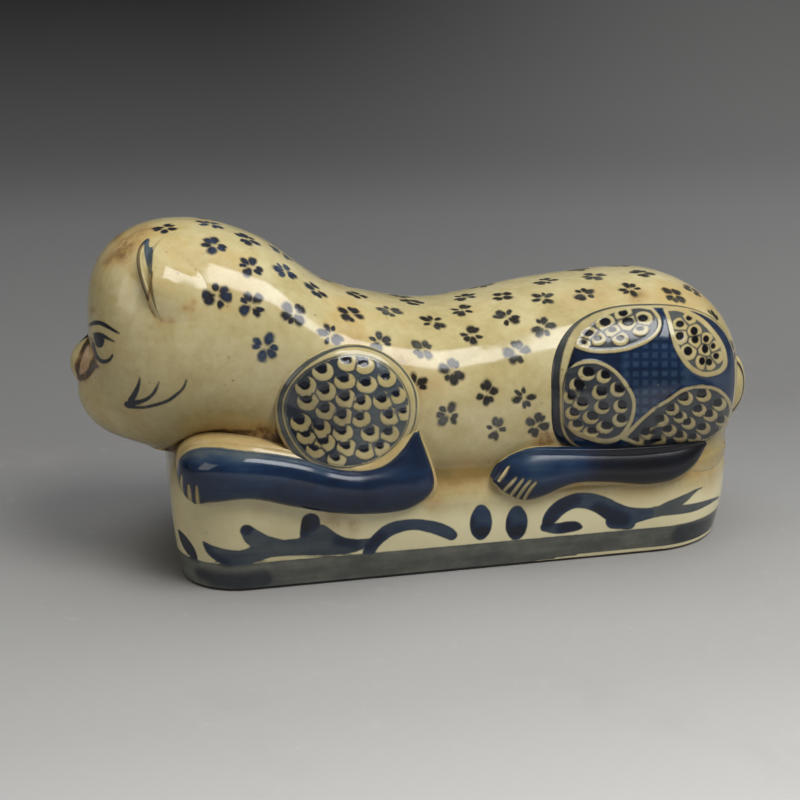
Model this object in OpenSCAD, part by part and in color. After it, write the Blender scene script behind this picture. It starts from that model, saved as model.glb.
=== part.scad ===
// Reclining animal pillow in blue and white glazed stoneware.
// The animal faces -X, +Z is up, and the origin is on the table under the middle of its length.
// Every piece is a clay part that is luted to its neighbours with slip before it is glazed and fired.

/* [Plinth] */
// Length of the foot of the plinth
foot_len = 249; // [235:1:270]
// Width of the foot of the plinth
foot_w = 104; // [96:1:112]
// Height of the plinth under the belly and the rump
plinth_h = 40; // [36:1:44]
// Height of the plinth under the neck
chest_h = 61; // [56:1:64]
// Height of the plinth under the jaw, at its front end
jaw_h = 52; // [49:1:54]
// How far the plinth leans out from foot to top
flare = 3; // [1:0.5:5]
// Corner radius of the foot at the front
front_corner_r = 26; // [20:1:32]
// Corner radius of the foot at the rear
rear_corner_r = 44; // [30:1:46]
// Width of the shelf on which the trunk and the head are luted
shelf_w = 26; // [20:1:28]
// Rounding of the top edge of the plinth
edge_round = 3; // [1:0.5:5]

/* [Trunk] */
// Height of the back at its lowest point
saddle_h = 107.2; // [102:0.2:112]
// Height of the loins, halfway from the saddle to the rump
loin_h = 114.2; // [110:0.2:118]
// Height of the rump
rump_h = 117.5; // [113:0.5:124]
// Height of the back over the shoulders
shoulder_h = 117.3; // [113:0.1:122]
// Height of the nape, where the head is luted on
nape_h = 137.3; // [132:0.1:141]
// Width of the trunk at the shoulders and the belly
belly_w = 104; // [98:1:108]
// Width of the trunk at the rump
rump_w = 106; // [100:1:110]
// Width of the neck
neck_w = 94; // [88:1:100]
// Length of the rounded end of the rump
rump_reach = 49; // [45:1:54]
// Distance from the neck joint back to the middle of the shoulders
shoulder_run = 29; // [25:1:33]
// Distance from the neck joint back to the elbows
elbow_run = 62; // [56:1:68]
// Distance from the elbows back to the lowest point of the back
saddle_run = 20; // [14:1:26]
// Distance from the rear of the foot forward to the fullest section of the rump
rump_setback = 40; // [36:1:44]
// Rise of the nape above the widest level of the neck
nape_rise = 49.3; // [47:0.1:52]
// Rise of the back above the widest level of the shoulders
shoulder_rise = 41.3; // [39:0.1:44]
// Rise of the back above the widest level of the belly
saddle_rise = 41.2; // [39:0.1:44]
// Rise of the rump above its widest level
rump_rise = 49.5; // [47:0.5:52]
// Depth of the neck's full section below its widest level
neck_drop = 60; // [56:1:64]
// Depth below the top of the plinth to which the trunk's full sections would reach
trunk_drop = 25; // [22:1:28]

/* [Head] */
// Height of the crown of the head
crown_h = 145.5; // [141:0.5:150]
// Width of the head
head_w = 92; // [86:1:98]
// Length of the rounded face, from the fullest section of the head to the forehead
head_reach = 40; // [37:1:42]
// Distance from the front of the foot back to the fullest section of the head
head_setback = 8; // [4:1:12]
// Distance from the front corners of the plinth back to the neck joint
neck_setback = 13; // [8:1:18]
// Rise of the crown above the widest level of the head
crown_rise = 48.5; // [46:0.5:51]
// Depth of the head below its widest level
head_drop = 48; // [46:0.5:49]
// How far the muzzle swells out of the face
muzzle_depth = 9.5; // [7:0.5:11]
// Width of the muzzle
muzzle_w = 62; // [54:1:70]
// Height of the muzzle from chin to bridge
muzzle_span = 60; // [54:1:66]
// Height of the middle of the muzzle above the front end of the plinth
muzzle_over_jaw = 17; // [15:0.5:19]
// Height of the middle of the nose above the middle of the muzzle
nose_over_muzzle = 20; // [18:0.5:22]
// How far the nose stands beyond the front of the foot
head_overhang = 40; // [38:0.5:44]
// Width of the nose
nose_w = 24; // [18:1:30]
// Height of the nose
nose_span = 19; // [15:1:24]
// Length of an ear, front to back
ear_len = 24; // [19:1:28]
// Height of an ear
ear_span = 31; // [26:1:35]
// How far an ear stands out of the head
ear_lift = 7; // [5:0.5:10]
// Depth of the groove behind the front rim of an ear
ear_groove = 4; // [2:0.5:5]
// Half width of the groove of an ear
ear_groove_half_w = 3; // [2:0.5:4]
// How far the groove lies in front of the middle of an ear
groove_advance = 5.3; // [4:0.1:7]
// How far the groove reaches below the middle of an ear
groove_drop = 12.4; // [10:0.1:14]
// How far the middle of an ear lies in front of the fullest section of the head
ear_advance = 7.5; // [5:0.5:10]
// Distance from the crown down to the top of an ear
ear_drop = 4.5; // [3.5:0.5:7]

/* [Limbs] */
// Width of the raised shoulder disc
shoulder_disc_w = 57; // [50:1:60]
// Height of the raised shoulder disc
shoulder_disc_span = 50; // [44:1:52]
// How far the shoulder disc stands out of the trunk
shoulder_lift = 4; // [2:0.5:6]
// Length of the raised haunch panel
haunch_len = 90; // [80:1:94]
// Height of the raised haunch panel
haunch_span = 56; // [50:1:60]
// How far the haunch panel stands out of the trunk
haunch_lift = 4; // [2:0.5:6]
// How far the middle of the haunch lies in front of the fullest section of the rump
haunch_advance = 10.5; // [8:0.5:13]
// Gap between a limb and the panel above it
limb_gap = 0.5; // [0.3:0.1:1.5]
// Thickness of the foreleg, top to bottom
foreleg_t = 19; // [15:0.5:21]
// Thickness of the forepaw, top to bottom
forepaw_t = 24; // [20:0.5:27]
// Thickness of the elbow, top to bottom
elbow_t = 26; // [22:0.5:28]
// Distance from the front of the foot back to the tip of the forepaw
paw_setback = 2; // [1:0.5:4]
// Length of the forepaw, from its tip to the wrist
forepaw_len = 26; // [22:1:30]
// How far the foreleg runs on behind the elbow
elbow_overrun = 3; // [1:0.5:5]
// Height of the middle of the forepaw above the top of the plinth
paw_over_deck = 7.5; // [6:0.5:9]
// Height of the middle of the wrist above the top of the plinth
wrist_over_deck = 10; // [8:0.5:11]
// Height of the middle of the elbow above the top of the plinth
elbow_over_deck = 4; // [3:0.5:5]
// How far the foreleg stands out of the plinth
foreleg_lift = 8; // [5:0.5:10]
// Thickness of the hind foot, top to bottom
hind_foot_t = 16; // [13:0.5:18]
// Distance from the lowest point of the back to the toes of the hind foot
toe_setback = 6; // [4:0.5:8]
// Distance from the toes of the hind foot to its instep
instep_len = 32; // [26:1:38]
// How far the heel lies behind the fullest section of the rump
heel_overrun = 14; // [11:1:17]
// Height of the middle of the hind foot above the top of the plinth
hind_over_deck = 2.5; // [1:0.5:3.5]
// How far the toes of the hind foot droop below the top of the plinth
toe_droop = 1; // [0:0.5:2]
// How far the hind foot stands out of the plinth
hind_foot_lift = 7; // [4:0.5:9]
// Number of toes on each paw
toes = 4; // [3:1:5]
// Depth of the grooves between the toes
toe_groove = 2; // [1:0.5:3]
// Width of the tail
tail_w = 16; // [11:1:22]
// Height of the tail on the rump
tail_span = 36; // [26:1:38]
// Height of the foot of the tail above the top of the plinth
tail_over_deck = 1; // [0.5:0.5:3]
// How far the tail stands beyond the rear of the foot
tail_overhang = 21; // [19:0.5:25]

/* [Clay] */
// Thickness of the pressed clay walls
wall = 7; // [5:0.5:9]
// Thickness of the floor slab
floor_t = 7; // [5:0.5:10]
// Diameter of the vent holes through the floor slab and the trunk
vent_d = 12; // [6:1:18]
// Thickness of the slip between two luted pieces
slip = 0.3; // [0.25:0.05:0.5]

/* [Hidden] */

GLAZE = [0.80, 0.74, 0.56];
COBALT = [0.20, 0.26, 0.40];
SCALES = [0.45, 0.48, 0.48];
BISCUIT = [0.72, 0.60, 0.46];

// Facet counts
ARC_STEPS = 30;
FLOOR_STEPS = 6;
RING_STEPS = ARC_STEPS + FLOOR_STEPS;
LOWEST_ANGLE = 84;
RUMP_RINGS = 9;
FACE_RINGS = 12;
PATCH_STEPS = 32;
SMALL_PATCH_RINGS = 4;
BROAD_PATCH_RINGS = 6;
CORNER_STEPS = 7;
SIDE_SPANS = 4;
ROLL_RINGS = 20;
ROLL_ARC = 9;
ROLL_BACK = 4;

// Places along the length
overall_len = head_overhang + foot_len + tail_overhang;
nose_x = -overall_len / 2;
tail_x = overall_len / 2;
foot_front = nose_x + head_overhang;
foot_rear = tail_x - tail_overhang;
top_front = foot_front - flare;
top_rear = foot_rear + flare;
crest_x = foot_front + front_corner_r;
head_x = foot_front + head_setback;
neck_x = crest_x + neck_setback;
shoulder_x = neck_x + shoulder_run;
elbow_x = neck_x + elbow_run;
saddle_x = elbow_x + saddle_run;
rump_x = foot_rear - rump_setback;
loin_x = (saddle_x + rump_x) / 2;

// Heights at which the sections are widest, and at which they would close below the deck
head_mid_h = crown_h - crown_rise;
neck_mid_h = nape_h - nape_rise;
shoulder_mid_h = shoulder_h - shoulder_rise;
saddle_mid_h = saddle_h - saddle_rise;
rump_mid_h = rump_h - rump_rise;
head_keel_h = head_mid_h - head_drop;
neck_keel_h = neck_mid_h - neck_drop;
trunk_keel_h = plinth_h - trunk_drop;

// Lines of the body: a height or a half width at a few sections
elbow_over_saddle = 1;
crown_line = [
    [head_x, crown_h], [neck_x, nape_h], [shoulder_x, shoulder_h],
    [elbow_x, saddle_h + elbow_over_saddle], [saddle_x, saddle_h], [loin_x, loin_h], [rump_x, rump_h]
];
side_line = [
    [head_x, head_w / 2], [neck_x, neck_w / 2], [shoulder_x, belly_w / 2],
    [saddle_x, belly_w / 2], [rump_x, rump_w / 2]
];
widest_line = [
    [head_x, head_mid_h], [neck_x, neck_mid_h], [shoulder_x, shoulder_mid_h],
    [saddle_x, saddle_mid_h], [rump_x, rump_mid_h]
];
keel_line = [
    [head_x, head_keel_h], [neck_x, neck_keel_h], [shoulder_x, trunk_keel_h], [rump_x, trunk_keel_h]
];
deck_line = [
    [top_front, jaw_h], [crest_x, chest_h], [neck_x, chest_h],
    [elbow_x, plinth_h], [top_rear, plinth_h]
];

// Fullness of the sections, the face and the rump: 2 is an ellipse and more is squarer
SECTION_POWER = 2.3;
FACE_POWER = 2.4;
RUMP_POWER = 2;
// Fullness of the pads below and above their middle
OVAL = [2, 2];
HAUNCH_POWERS = [4, 2.4];
CROWN_POWER = 0.6;

// Places of the features on the head and the rump
muzzle_z = jaw_h + muzzle_over_jaw;
nose_z = muzzle_z + nose_over_muzzle;
ear_x = head_x - ear_advance;
ear_z = crown_h - ear_drop - ear_span / 2;
groove_x = ear_x - groove_advance;
groove_foot_z = ear_z - groove_drop;
tail_z = plinth_h + tail_over_deck + tail_span / 2;

// Places of the limbs
pad_edge = 1;
end_bed = 2 * slip;
seat_blend = 4;
shoulder_z = plinth_h + foreleg_t / 2 + limb_gap + shoulder_disc_span / 2;
paw_x = foot_front + paw_setback;
wrist_x = paw_x + forepaw_len;
paw_z = plinth_h + paw_over_deck;
wrist_z = plinth_h + wrist_over_deck;
elbow_end = elbow_x + elbow_overrun;
elbow_z = plinth_h + elbow_over_deck;
toe_x = saddle_x + toe_setback;
instep_x = toe_x + instep_len;
heel_x = rump_x + heel_overrun;
toe_z = plinth_h - toe_droop;
hind_z = plinth_h + hind_over_deck;
haunch_x = rump_x - haunch_advance;
haunch_z = hind_z + hind_foot_t / 2 + limb_gap + haunch_span / 2;
foreleg_axis = [[paw_x, paw_z], [wrist_x, wrist_z], [shoulder_x, plinth_h], [elbow_end, elbow_z]];
foreleg_half = [
    [paw_x, forepaw_t / 2], [wrist_x, foreleg_t / 2], [shoulder_x, foreleg_t / 2], [elbow_end, elbow_t / 2]
];
hind_axis = [[toe_x, toe_z], [instep_x, hind_z], [heel_x, hind_z]];
hind_half = [[toe_x, hind_foot_t / 2], [heel_x, hind_foot_t / 2]];

// Smooth curve through the sections of a line, level at both ends
function span_of(line, x, i = 0) =
    i >= len(line) - 2 || x < line[i + 1][0] ? i : span_of(line, x, i + 1);
function slope_at(line, i) =
    i == 0 || i == len(line) - 1
        ? 0
        : (line[i + 1][1] - line[i - 1][1]) / (line[i + 1][0] - line[i - 1][0]);
function along(line, x) =
    let (
        i = span_of(line, x),
        run = line[i + 1][0] - line[i][0],
        s = min(max((x - line[i][0]) / run, 0), 1),
        a = line[i][1],
        b = line[i + 1][1],
        from = slope_at(line, i) * run,
        to = slope_at(line, i + 1) * run
    )
    a + s * from + s * s * (3 * (b - a) - 2 * from - to) + s * s * s * (2 * (a - b) + from + to);
function deck(x) = lookup(x, deck_line);

// Power curves of the sections and of the closed ends
function signed_pow(v, p) = sign(v) * pow(abs(v), p);
function cap_scale(x) =
    x < head_x
        ? pow(1 - pow(min((head_x - x) / head_reach, 1), FACE_POWER), 1 / FACE_POWER)
        : x > rump_x
            ? pow(1 - pow(min((x - rump_x) / rump_reach, 1), RUMP_POWER), 1 / RUMP_POWER)
            : 1;

// The muzzle swells out of the front of the face
function muzzle_swell(x, y, z) =
    let (
        q = pow(2 * y / muzzle_w, 2) + pow(2 * (z - muzzle_z) / muzzle_span, 2),
        front = min(max((head_x - x) / head_reach, 0), 1)
    )
    q < 1 ? muzzle_depth * (1 + cos(180 * sqrt(q))) / 2 * front : 0;

// One section of the body: an arch that stands on the deck, and its floor, as a ring of points
// The inset draws it in for the inside of the wall
function section(x, scale, inset) =
    let (
        half_w = (along(side_line, x) - inset) * scale,
        mid = along(widest_line, x),
        up = (along(crown_line, x) - inset - mid) * scale,
        down = (mid - along(keel_line, x) - inset) * scale,
        drop = max(mid - deck(x) - slip - inset, 0) / down,
        low = min(asin(pow(min(drop, 1), SECTION_POWER / 2)), LOWEST_ANGLE),
        floor_z = mid - down * pow(sin(low), 2 / SECTION_POWER),
        floor_w = half_w * pow(cos(low), 2 / SECTION_POWER),
        arch = [
            for (i = [0 : ARC_STEPS])
                let (a = (180 + 2 * low) * i / ARC_STEPS - low)
                [
                    half_w * signed_pow(cos(a), 2 / SECTION_POWER),
                    mid + (a > 0 && a < 180 ? up : down) * signed_pow(sin(a), 2 / SECTION_POWER)
                ]
        ],
        floor = [for (i = [1 : FLOOR_STEPS - 1]) [floor_w * (2 * i / FLOOR_STEPS - 1), floor_z]]
    )
    [for (p = concat(arch, floor)) [x - muzzle_swell(x, p[0], p[1]), p[0], p[1]]];

// Half width of the body, of the plinth, and of both together, at a point of the side view
function body_side(x, z) =
    let (
        mid = along(widest_line, x),
        reach = z > mid ? along(crown_line, x) - mid : mid - along(keel_line, x),
        left = pow(cap_scale(x), SECTION_POWER) - pow(abs(z - mid) / reach, SECTION_POWER)
    )
    left > 0 ? along(side_line, x) * pow(left, 1 / SECTION_POWER) : 0;
function corner_side(half_w, r, d) = half_w - r + sqrt(max(r * r - d * d, 0));
function plinth_side(x, z) =
    let (
        lean = flare * min(z / deck(x), 1),
        half_w = foot_w / 2 + lean,
        rear_c = foot_rear - rear_corner_r
    )
    x < crest_x
        ? corner_side(half_w, front_corner_r + lean, crest_x - x)
        : x > rear_c ? corner_side(half_w, rear_corner_r + lean, x - rear_c) : half_w;
function wall_side(x, z) =
    let (
        over = min(max((z - deck(x) - slip) / seat_blend, 0), 1),
        body = body_side(x, z),
        base = plinth_side(x, z)
    )
    max(body, base + (body - base) * over);

// Front of the face, or back of the rump, at a point of the view along the length
function end_x(y, z, from, reach, direction, power) =
    let (
        mid = along(widest_line, from),
        rise = z > mid ? along(crown_line, from) - mid : mid - along(keel_line, from),
        gauge = pow(abs(y) / along(side_line, from), SECTION_POWER) + pow(abs(z - mid) / rise, SECTION_POWER),
        x = from + direction * reach * pow(max(1 - pow(gauge, power / SECTION_POWER), 0), 1 / power)
    )
    x - muzzle_swell(x, y, z);

// Faces between rings of equal length, and from a ring to a tip
function ring_faces(n, from, to) = [
    for (i = [0 : n - 1])
        let (j = (i + 1) % n)
        each [[from + i, from + j, to + j], [from + i, to + j, to + i]]
];
function fan_faces(n, from, tip) = [for (i = [0 : n - 1]) [from + i, from + (i + 1) % n, tip]];
function flip(faces) = [for (f = faces) [f[2], f[1], f[0]]];
function flat(lists) = [for (l = lists) each l];
function stack_faces(n, from, rings) =
    flat([for (k = [0 : rings - 2]) ring_faces(n, from + k * n, from + (k + 1) * n)]);
function spread(a, b, n) = [for (i = [1 : n]) a + (b - a) * i / n];

// Sections of the trunk and the head from the neck joint to where the end starts to close
trunk_stations = concat(
    [neck_x + slip / 2], spread(neck_x, shoulder_x, 4), spread(shoulder_x, elbow_x, 4),
    spread(elbow_x, saddle_x, 2), spread(saddle_x, loin_x, 4), spread(loin_x, rump_x, 4)
);
head_stations = concat([neck_x - slip / 2], spread(neck_x, crest_x, 2), spread(crest_x, head_x, 3));

// A hollow cup of clay, open at the neck joint and closed at the other end
module clay_cup(stations, from, reach, direction, power, cap_rings) {
    n = RING_STEPS;
    function cap(depth) = [
        for (i = [1 : cap_rings - 1])
            let (a = 90 * i / cap_rings)
            [from + direction * depth * pow(sin(a), 2 / power), pow(cos(a), 2 / power)]
    ];
    function skin(inset) = flat([
        for (s = concat([for (x = stations) [x, 1]], cap(reach - inset))) section(s[0], s[1], inset)
    ]);
    function tip(inset) =
        let (x = from + direction * (reach - inset), z = along(widest_line, from))
        [x - muzzle_swell(x, 0, z), 0, z];
    rings = len(stations) + cap_rings - 1;
    half = rings * n;
    faces = concat(
        stack_faces(n, 0, rings),
        fan_faces(n, half - n, 2 * half),
        flip(concat(stack_faces(n, half, rings), fan_faces(n, 2 * half - n, 2 * half + 1))),
        ring_faces(n, half, 0)
    );
    polyhedron(
        concat(skin(0), skin(wall), [tip(0), tip(wall)]),
        direction > 0 ? flip(faces) : faces
    );
}

// Outline of the plinth at one level, outset from the foot, with the stations of the deck on its sides
rear_corner_x = foot_rear - rear_corner_r;
side_stations = concat(
    [neck_x], spread(neck_x, elbow_x, SIDE_SPANS),
    [for (i = [1 : SIDE_SPANS - 1]) elbow_x + (rear_corner_x - elbow_x) * i / SIDE_SPANS]
);
function corner(cx, cy, r, from) = [
    for (i = [0 : CORNER_STEPS])
        let (a = from + 90 * i / CORNER_STEPS)
        [cx + r * cos(a), cy + r * sin(a)]
];
function outline(outset) =
    let (
        front_r = max(front_corner_r + outset, 1),
        rear_r = max(rear_corner_r + outset, 1),
        front_c = foot_front - outset + front_r,
        rear_c = foot_rear + outset - rear_r,
        half_w = foot_w / 2 + outset,
        last = len(side_stations) - 1
    )
    concat(
        corner(front_c, front_r - half_w, front_r, 180),
        [for (x = side_stations) [x, -half_w]],
        corner(rear_c, rear_r - half_w, rear_r, 270),
        corner(rear_c, half_w - rear_r, rear_r, 0),
        [for (i = [last : -1 : 0]) [side_stations[i], half_w]],
        corner(front_c, half_w - front_r, front_r, 90)
    );

module vent(x, z, depth) {
    translate([x, 0, z - 1]) cylinder(d = vent_d, h = depth + 2, $fn = 48);
}

module floor_slab() {
    color(BISCUIT)
        difference() {
            linear_extrude(floor_t) polygon(outline(-wall - slip));
            vent(saddle_x, 0, floor_t);
        }
}

// A wall that runs once round, with a shelf inwards at its top
module plinth() {
    function foot(outset) = [for (p = outline(outset)) [p[0], p[1], 0]];
    function level(outset, drop) = [for (p = outline(outset)) [p[0], p[1], deck(p[0]) - drop]];
    soft = edge_round * (1 - cos(45));
    rings = [
        foot(0),
        level(flare, edge_round),
        level(flare - soft, soft),
        level(flare - edge_round, 0),
        level(flare - shelf_w, 0),
        level(flare - shelf_w, wall),
        level(flare - wall, wall),
        foot(-wall)
    ];
    n = len(rings[0]);
    count = len(rings);
    faces = concat(stack_faces(n, 0, count), ring_faces(n, (count - 1) * n, 0));
    color(GLAZE) polyhedron(flat(rings), flip(faces));
}

module trunk() {
    color(GLAZE)
        difference() {
            clay_cup(trunk_stations, rump_x, rump_reach, 1, RUMP_POWER, RUMP_RINGS);
            vent(saddle_x, plinth_h, wall);
        }
}

module head() {
    color(GLAZE) clay_cup(head_stations, head_x, head_reach, -1, FACE_POWER, FACE_RINGS);
}

// A swelling skin: a front and a back of rings round two tips, joined at their outer rings
module blister(front, back, front_tip, back_tip) {
    n = PATCH_STEPS;
    rings = len(front) / n;
    half = rings * n;
    faces = concat(
        fan_faces(n, 0, 2 * half),
        flip(stack_faces(n, 0, rings)),
        flip(fan_faces(n, half, 2 * half + 1)),
        stack_faces(n, half, rings),
        ring_faces(n, 2 * half - n, half - n)
    );
    polyhedron(concat(front, back, [front_tip, back_tip]), faces);
}
function pad_place(centre, size, powers, s, a) =
    let (power = sin(a) < 0 ? powers[0] : powers[1])
    [
        centre[0] + s * size[0] / 2 * signed_pow(cos(a), 2 / power),
        centre[1] + s * size[1] / 2 * signed_pow(sin(a), 2 / power)
    ];

// A raised pad on the left wall: its back follows the wall and its front swells out of it
module side_pad(centre, size, powers, rings, swell) {
    n = PATCH_STEPS;
    function point(s, a, out) =
        let (p = pad_place(centre, size, powers, s, a))
        [p[0], -wall_side(p[0], p[1]) - slip - (out ? pad_edge + swell(s, p[0], p[1]) : 0), p[1]];
    function skin(out) = [
        for (k = [1 : rings], i = [0 : n - 1]) point(k / rings, -360 * i / n, out)
    ];
    blister(skin(true), skin(false), point(0, 0, true), point(0, 0, false));
}

// A lobe on the face or on the rump, whose tip reaches a given place along the length
module end_lobe(centre, size, tip_x, from, reach, direction, power) {
    n = PATCH_STEPS;
    rings = SMALL_PATCH_RINGS;
    function point(s, a, out) =
        let (
            p = pad_place(centre, size, OVAL, s, a),
            base = end_x(p[0], p[1], from, reach, direction, power) + direction * end_bed,
            rise = sqrt(1 - s * s),
            lift = (tip_x - base) * rise + direction * pad_edge * (1 - rise)
        )
        [base + (out ? lift : 0), p[0], p[1]];
    function skin(out) = [
        for (k = [1 : rings], i = [0 : n - 1])
            point(sin(90 * k / rings), -direction * 360 * i / n, out)
    ];
    blister(skin(true), skin(false), point(0, 0, true), point(0, 0, false));
}

// A limb along the left wall: a roll with toes at its front end, whose back follows the wall
module side_roll(from, to, axis_line, half_line, lift, round_len) {
    function end_round(x) =
        let (d = min(x - from, to - x) / round_len)
        d < 1 ? sqrt(max(1 - pow(1 - d, 2), 0)) : 1;
    function station(k) = from + (to - from) * (1 - cos(180 * k / ROLL_RINGS)) / 2;
    function toe_cut(x, rise) =
        let (u = (x - from) / round_len)
        u < 1 && rise < 0 ? toe_groove * -rise * pow(sin(180 * toes * u), 2) : 0;
    function at(x, rise, out) =
        let (z = along(axis_line, x) + along(half_line, x) * end_round(x) * rise)
        [x, -wall_side(x, z) - slip - out * end_round(x), z];
    function ring(x) = concat(
        [
            for (i = [0 : ROLL_ARC])
                let (a = 90 - 180 * i / ROLL_ARC)
                at(x, sin(a), pad_edge + max(lift * cos(a) - toe_cut(x, sin(a)), 0))
        ],
        [for (i = [0 : ROLL_BACK]) at(x, 2 * i / ROLL_BACK - 1, 0)]
    );
    n = ROLL_ARC + ROLL_BACK + 2;
    rings = ROLL_RINGS - 1;
    points = flat([for (k = [1 : rings]) ring(station(k))]);
    tips = [at(from, 0, 0), at(to, 0, 0)];
    faces = concat(
        flip(stack_faces(n, 0, rings)),
        fan_faces(n, 0, rings * n),
        flip(fan_faces(n, (rings - 1) * n, rings * n + 1))
    );
    polyhedron(concat(points, tips), faces);
}
module on_right() {
    mirror([0, 1, 0]) children();
}

module nose() {
    color(BISCUIT)
        end_lobe([0, nose_z], [nose_w, nose_span], nose_x, head_x, head_reach, -1, FACE_POWER);
}

module tail() {
    color(GLAZE)
        end_lobe([0, tail_z], [tail_w, tail_span], tail_x, rump_x, rump_reach, 1, RUMP_POWER);
}

// The ear is a mound with a groove behind its front rim, deepest towards the tip
module left_ear() {
    function groove(x, z) =
        exp(-pow((x - groove_x) / ear_groove_half_w, 2)) * max((z - groove_foot_z) / ear_span, 0);
    color(GLAZE)
        side_pad(
            [ear_x, ear_z], [ear_len, ear_span], OVAL, SMALL_PATCH_RINGS,
            function(s, x, z) sqrt(max(1 - s * s, 0)) * (ear_lift - ear_groove * groove(x, z))
        );
}
module right_ear() {
    on_right() left_ear();
}

// Panels swell gently to their full lift
function crowned(lift) = function(s, x, z) (lift - pad_edge) * pow(max(1 - s * s, 0), CROWN_POWER);

module left_shoulder() {
    color(SCALES)
        side_pad(
            [shoulder_x, shoulder_z], [shoulder_disc_w, shoulder_disc_span], OVAL, BROAD_PATCH_RINGS,
            crowned(shoulder_lift)
        );
}
module right_shoulder() {
    on_right() left_shoulder();
}

module left_haunch() {
    color(SCALES)
        side_pad(
            [haunch_x, haunch_z], [haunch_len, haunch_span], HAUNCH_POWERS, BROAD_PATCH_RINGS,
            crowned(haunch_lift)
        );
}
module right_haunch() {
    on_right() left_haunch();
}

module left_foreleg() {
    color(COBALT)
        side_roll(paw_x, elbow_end, foreleg_axis, foreleg_half, foreleg_lift - pad_edge, forepaw_t / 2);
}
module right_foreleg() {
    on_right() left_foreleg();
}

module left_hind_foot() {
    color(COBALT)
        side_roll(toe_x, heel_x, hind_axis, hind_half, hind_foot_lift - pad_edge, hind_foot_t);
}
module right_hind_foot() {
    on_right() left_hind_foot();
}

floor_slab();
plinth();
trunk();
head();
nose();
left_ear();
right_ear();
left_shoulder();
right_shoulder();
left_foreleg();
right_foreleg();
left_haunch();
right_haunch();
left_hind_foot();
right_hind_foot();
tail();
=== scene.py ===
# Reclining spotted animal in blue and white stoneware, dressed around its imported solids.
import math

import bpy
import numpy as np
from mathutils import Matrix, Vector
from mathutils.bvhtree import BVHTree


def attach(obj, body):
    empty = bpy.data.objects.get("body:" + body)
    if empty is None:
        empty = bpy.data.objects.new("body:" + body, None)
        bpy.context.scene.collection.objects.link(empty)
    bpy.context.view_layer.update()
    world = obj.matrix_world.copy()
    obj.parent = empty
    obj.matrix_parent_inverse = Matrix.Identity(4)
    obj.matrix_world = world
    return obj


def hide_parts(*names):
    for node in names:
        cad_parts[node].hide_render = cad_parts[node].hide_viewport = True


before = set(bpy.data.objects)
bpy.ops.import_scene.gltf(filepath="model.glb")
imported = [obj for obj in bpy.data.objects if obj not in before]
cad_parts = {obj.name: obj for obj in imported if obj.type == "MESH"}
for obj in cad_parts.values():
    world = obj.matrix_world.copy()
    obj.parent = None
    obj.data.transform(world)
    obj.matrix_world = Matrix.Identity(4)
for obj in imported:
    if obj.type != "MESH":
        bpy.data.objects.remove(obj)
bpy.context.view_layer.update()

# A millimetre in metres, and a length that stands in for none
MM, TINY = 0.001, 1e-9

# Sizes of the part, in millimetres, as in its source
HEAD_X, NECK_X, SHOULDER_X, ELBOW_X, SADDLE_X, RUMP_X = -107.0, -76.0, -47.0, -14.0, 6.0, 94.0
LOIN_X = (SADDLE_X + RUMP_X) / 2
FOOT_FRONT, FOOT_REAR, FOOT_HALF_W = -115.0, 134.0, 52.0
FLARE, FRONT_R, REAR_R, WALL, SHELF_W = 3.0, 26.0, 44.0, 7.0, 26.0
CREST_X, REAR_C = FOOT_FRONT + FRONT_R, FOOT_REAR - REAR_R
HEAD_REACH, RUMP_REACH = 40.0, 49.0
SECTION_POWER, FACE_POWER, RUMP_POWER = 2.3, 2.4, 2.0
TAIL_X = 155.0
MUZZLE_Z, MUZZLE_W, MUZZLE_SPAN, MUZZLE_DEPTH = 69.0, 62.0, 60.0, 9.5
CROWN_LINE = [
    (HEAD_X, 145.5), (NECK_X, 137.3), (SHOULDER_X, 117.3), (ELBOW_X, 108.2),
    (SADDLE_X, 107.2), (LOIN_X, 114.2), (RUMP_X, 117.5),
]
SIDE_LINE = [(HEAD_X, 46), (NECK_X, 47), (SHOULDER_X, 52), (SADDLE_X, 52), (RUMP_X, 53)]
WIDEST_LINE = [(HEAD_X, 97), (NECK_X, 88), (SHOULDER_X, 76), (SADDLE_X, 66), (RUMP_X, 68)]
KEEL_LINE = [(HEAD_X, 49), (NECK_X, 28), (SHOULDER_X, 15), (RUMP_X, 15)]
DECK_LINE = [
    (FOOT_FRONT - FLARE, 52), (CREST_X, 61), (NECK_X, 61), (ELBOW_X, 40), (FOOT_REAR + FLARE, 40),
]

# Camera, matched to the photograph's frame
IMAGE_PX, FOCAL_PX, SENSOR_MM = 800, 1180.0, 36.0
CAMERA_AT = np.array([-128.75, -496.23, 205.0])
CAMERA_TURN, CAMERA_TILT = math.radians(13.0), math.radians(15.7)
CAMERA_BACK = np.array([
    -math.sin(CAMERA_TURN) * math.cos(CAMERA_TILT),
    -math.cos(CAMERA_TURN) * math.cos(CAMERA_TILT),
    math.sin(CAMERA_TILT),
])
CAMERA_RIGHT = np.array([math.cos(CAMERA_TURN), -math.sin(CAMERA_TURN), 0.0])
CAMERA_UP = np.cross(CAMERA_BACK, CAMERA_RIGHT)
# Millimetres of the near side that one pixel covers
PX_MM = 0.42
# Beyond this many pixels or millimetres a painted edge no longer matters
FAR = 12.0
# Distance of the object's near side from the camera
OBJECT_AWAY = 480.0
# Points that a curve gets between two given ones
STROKE_STEPS, OUTLINE_STEPS = 6, 5


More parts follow.
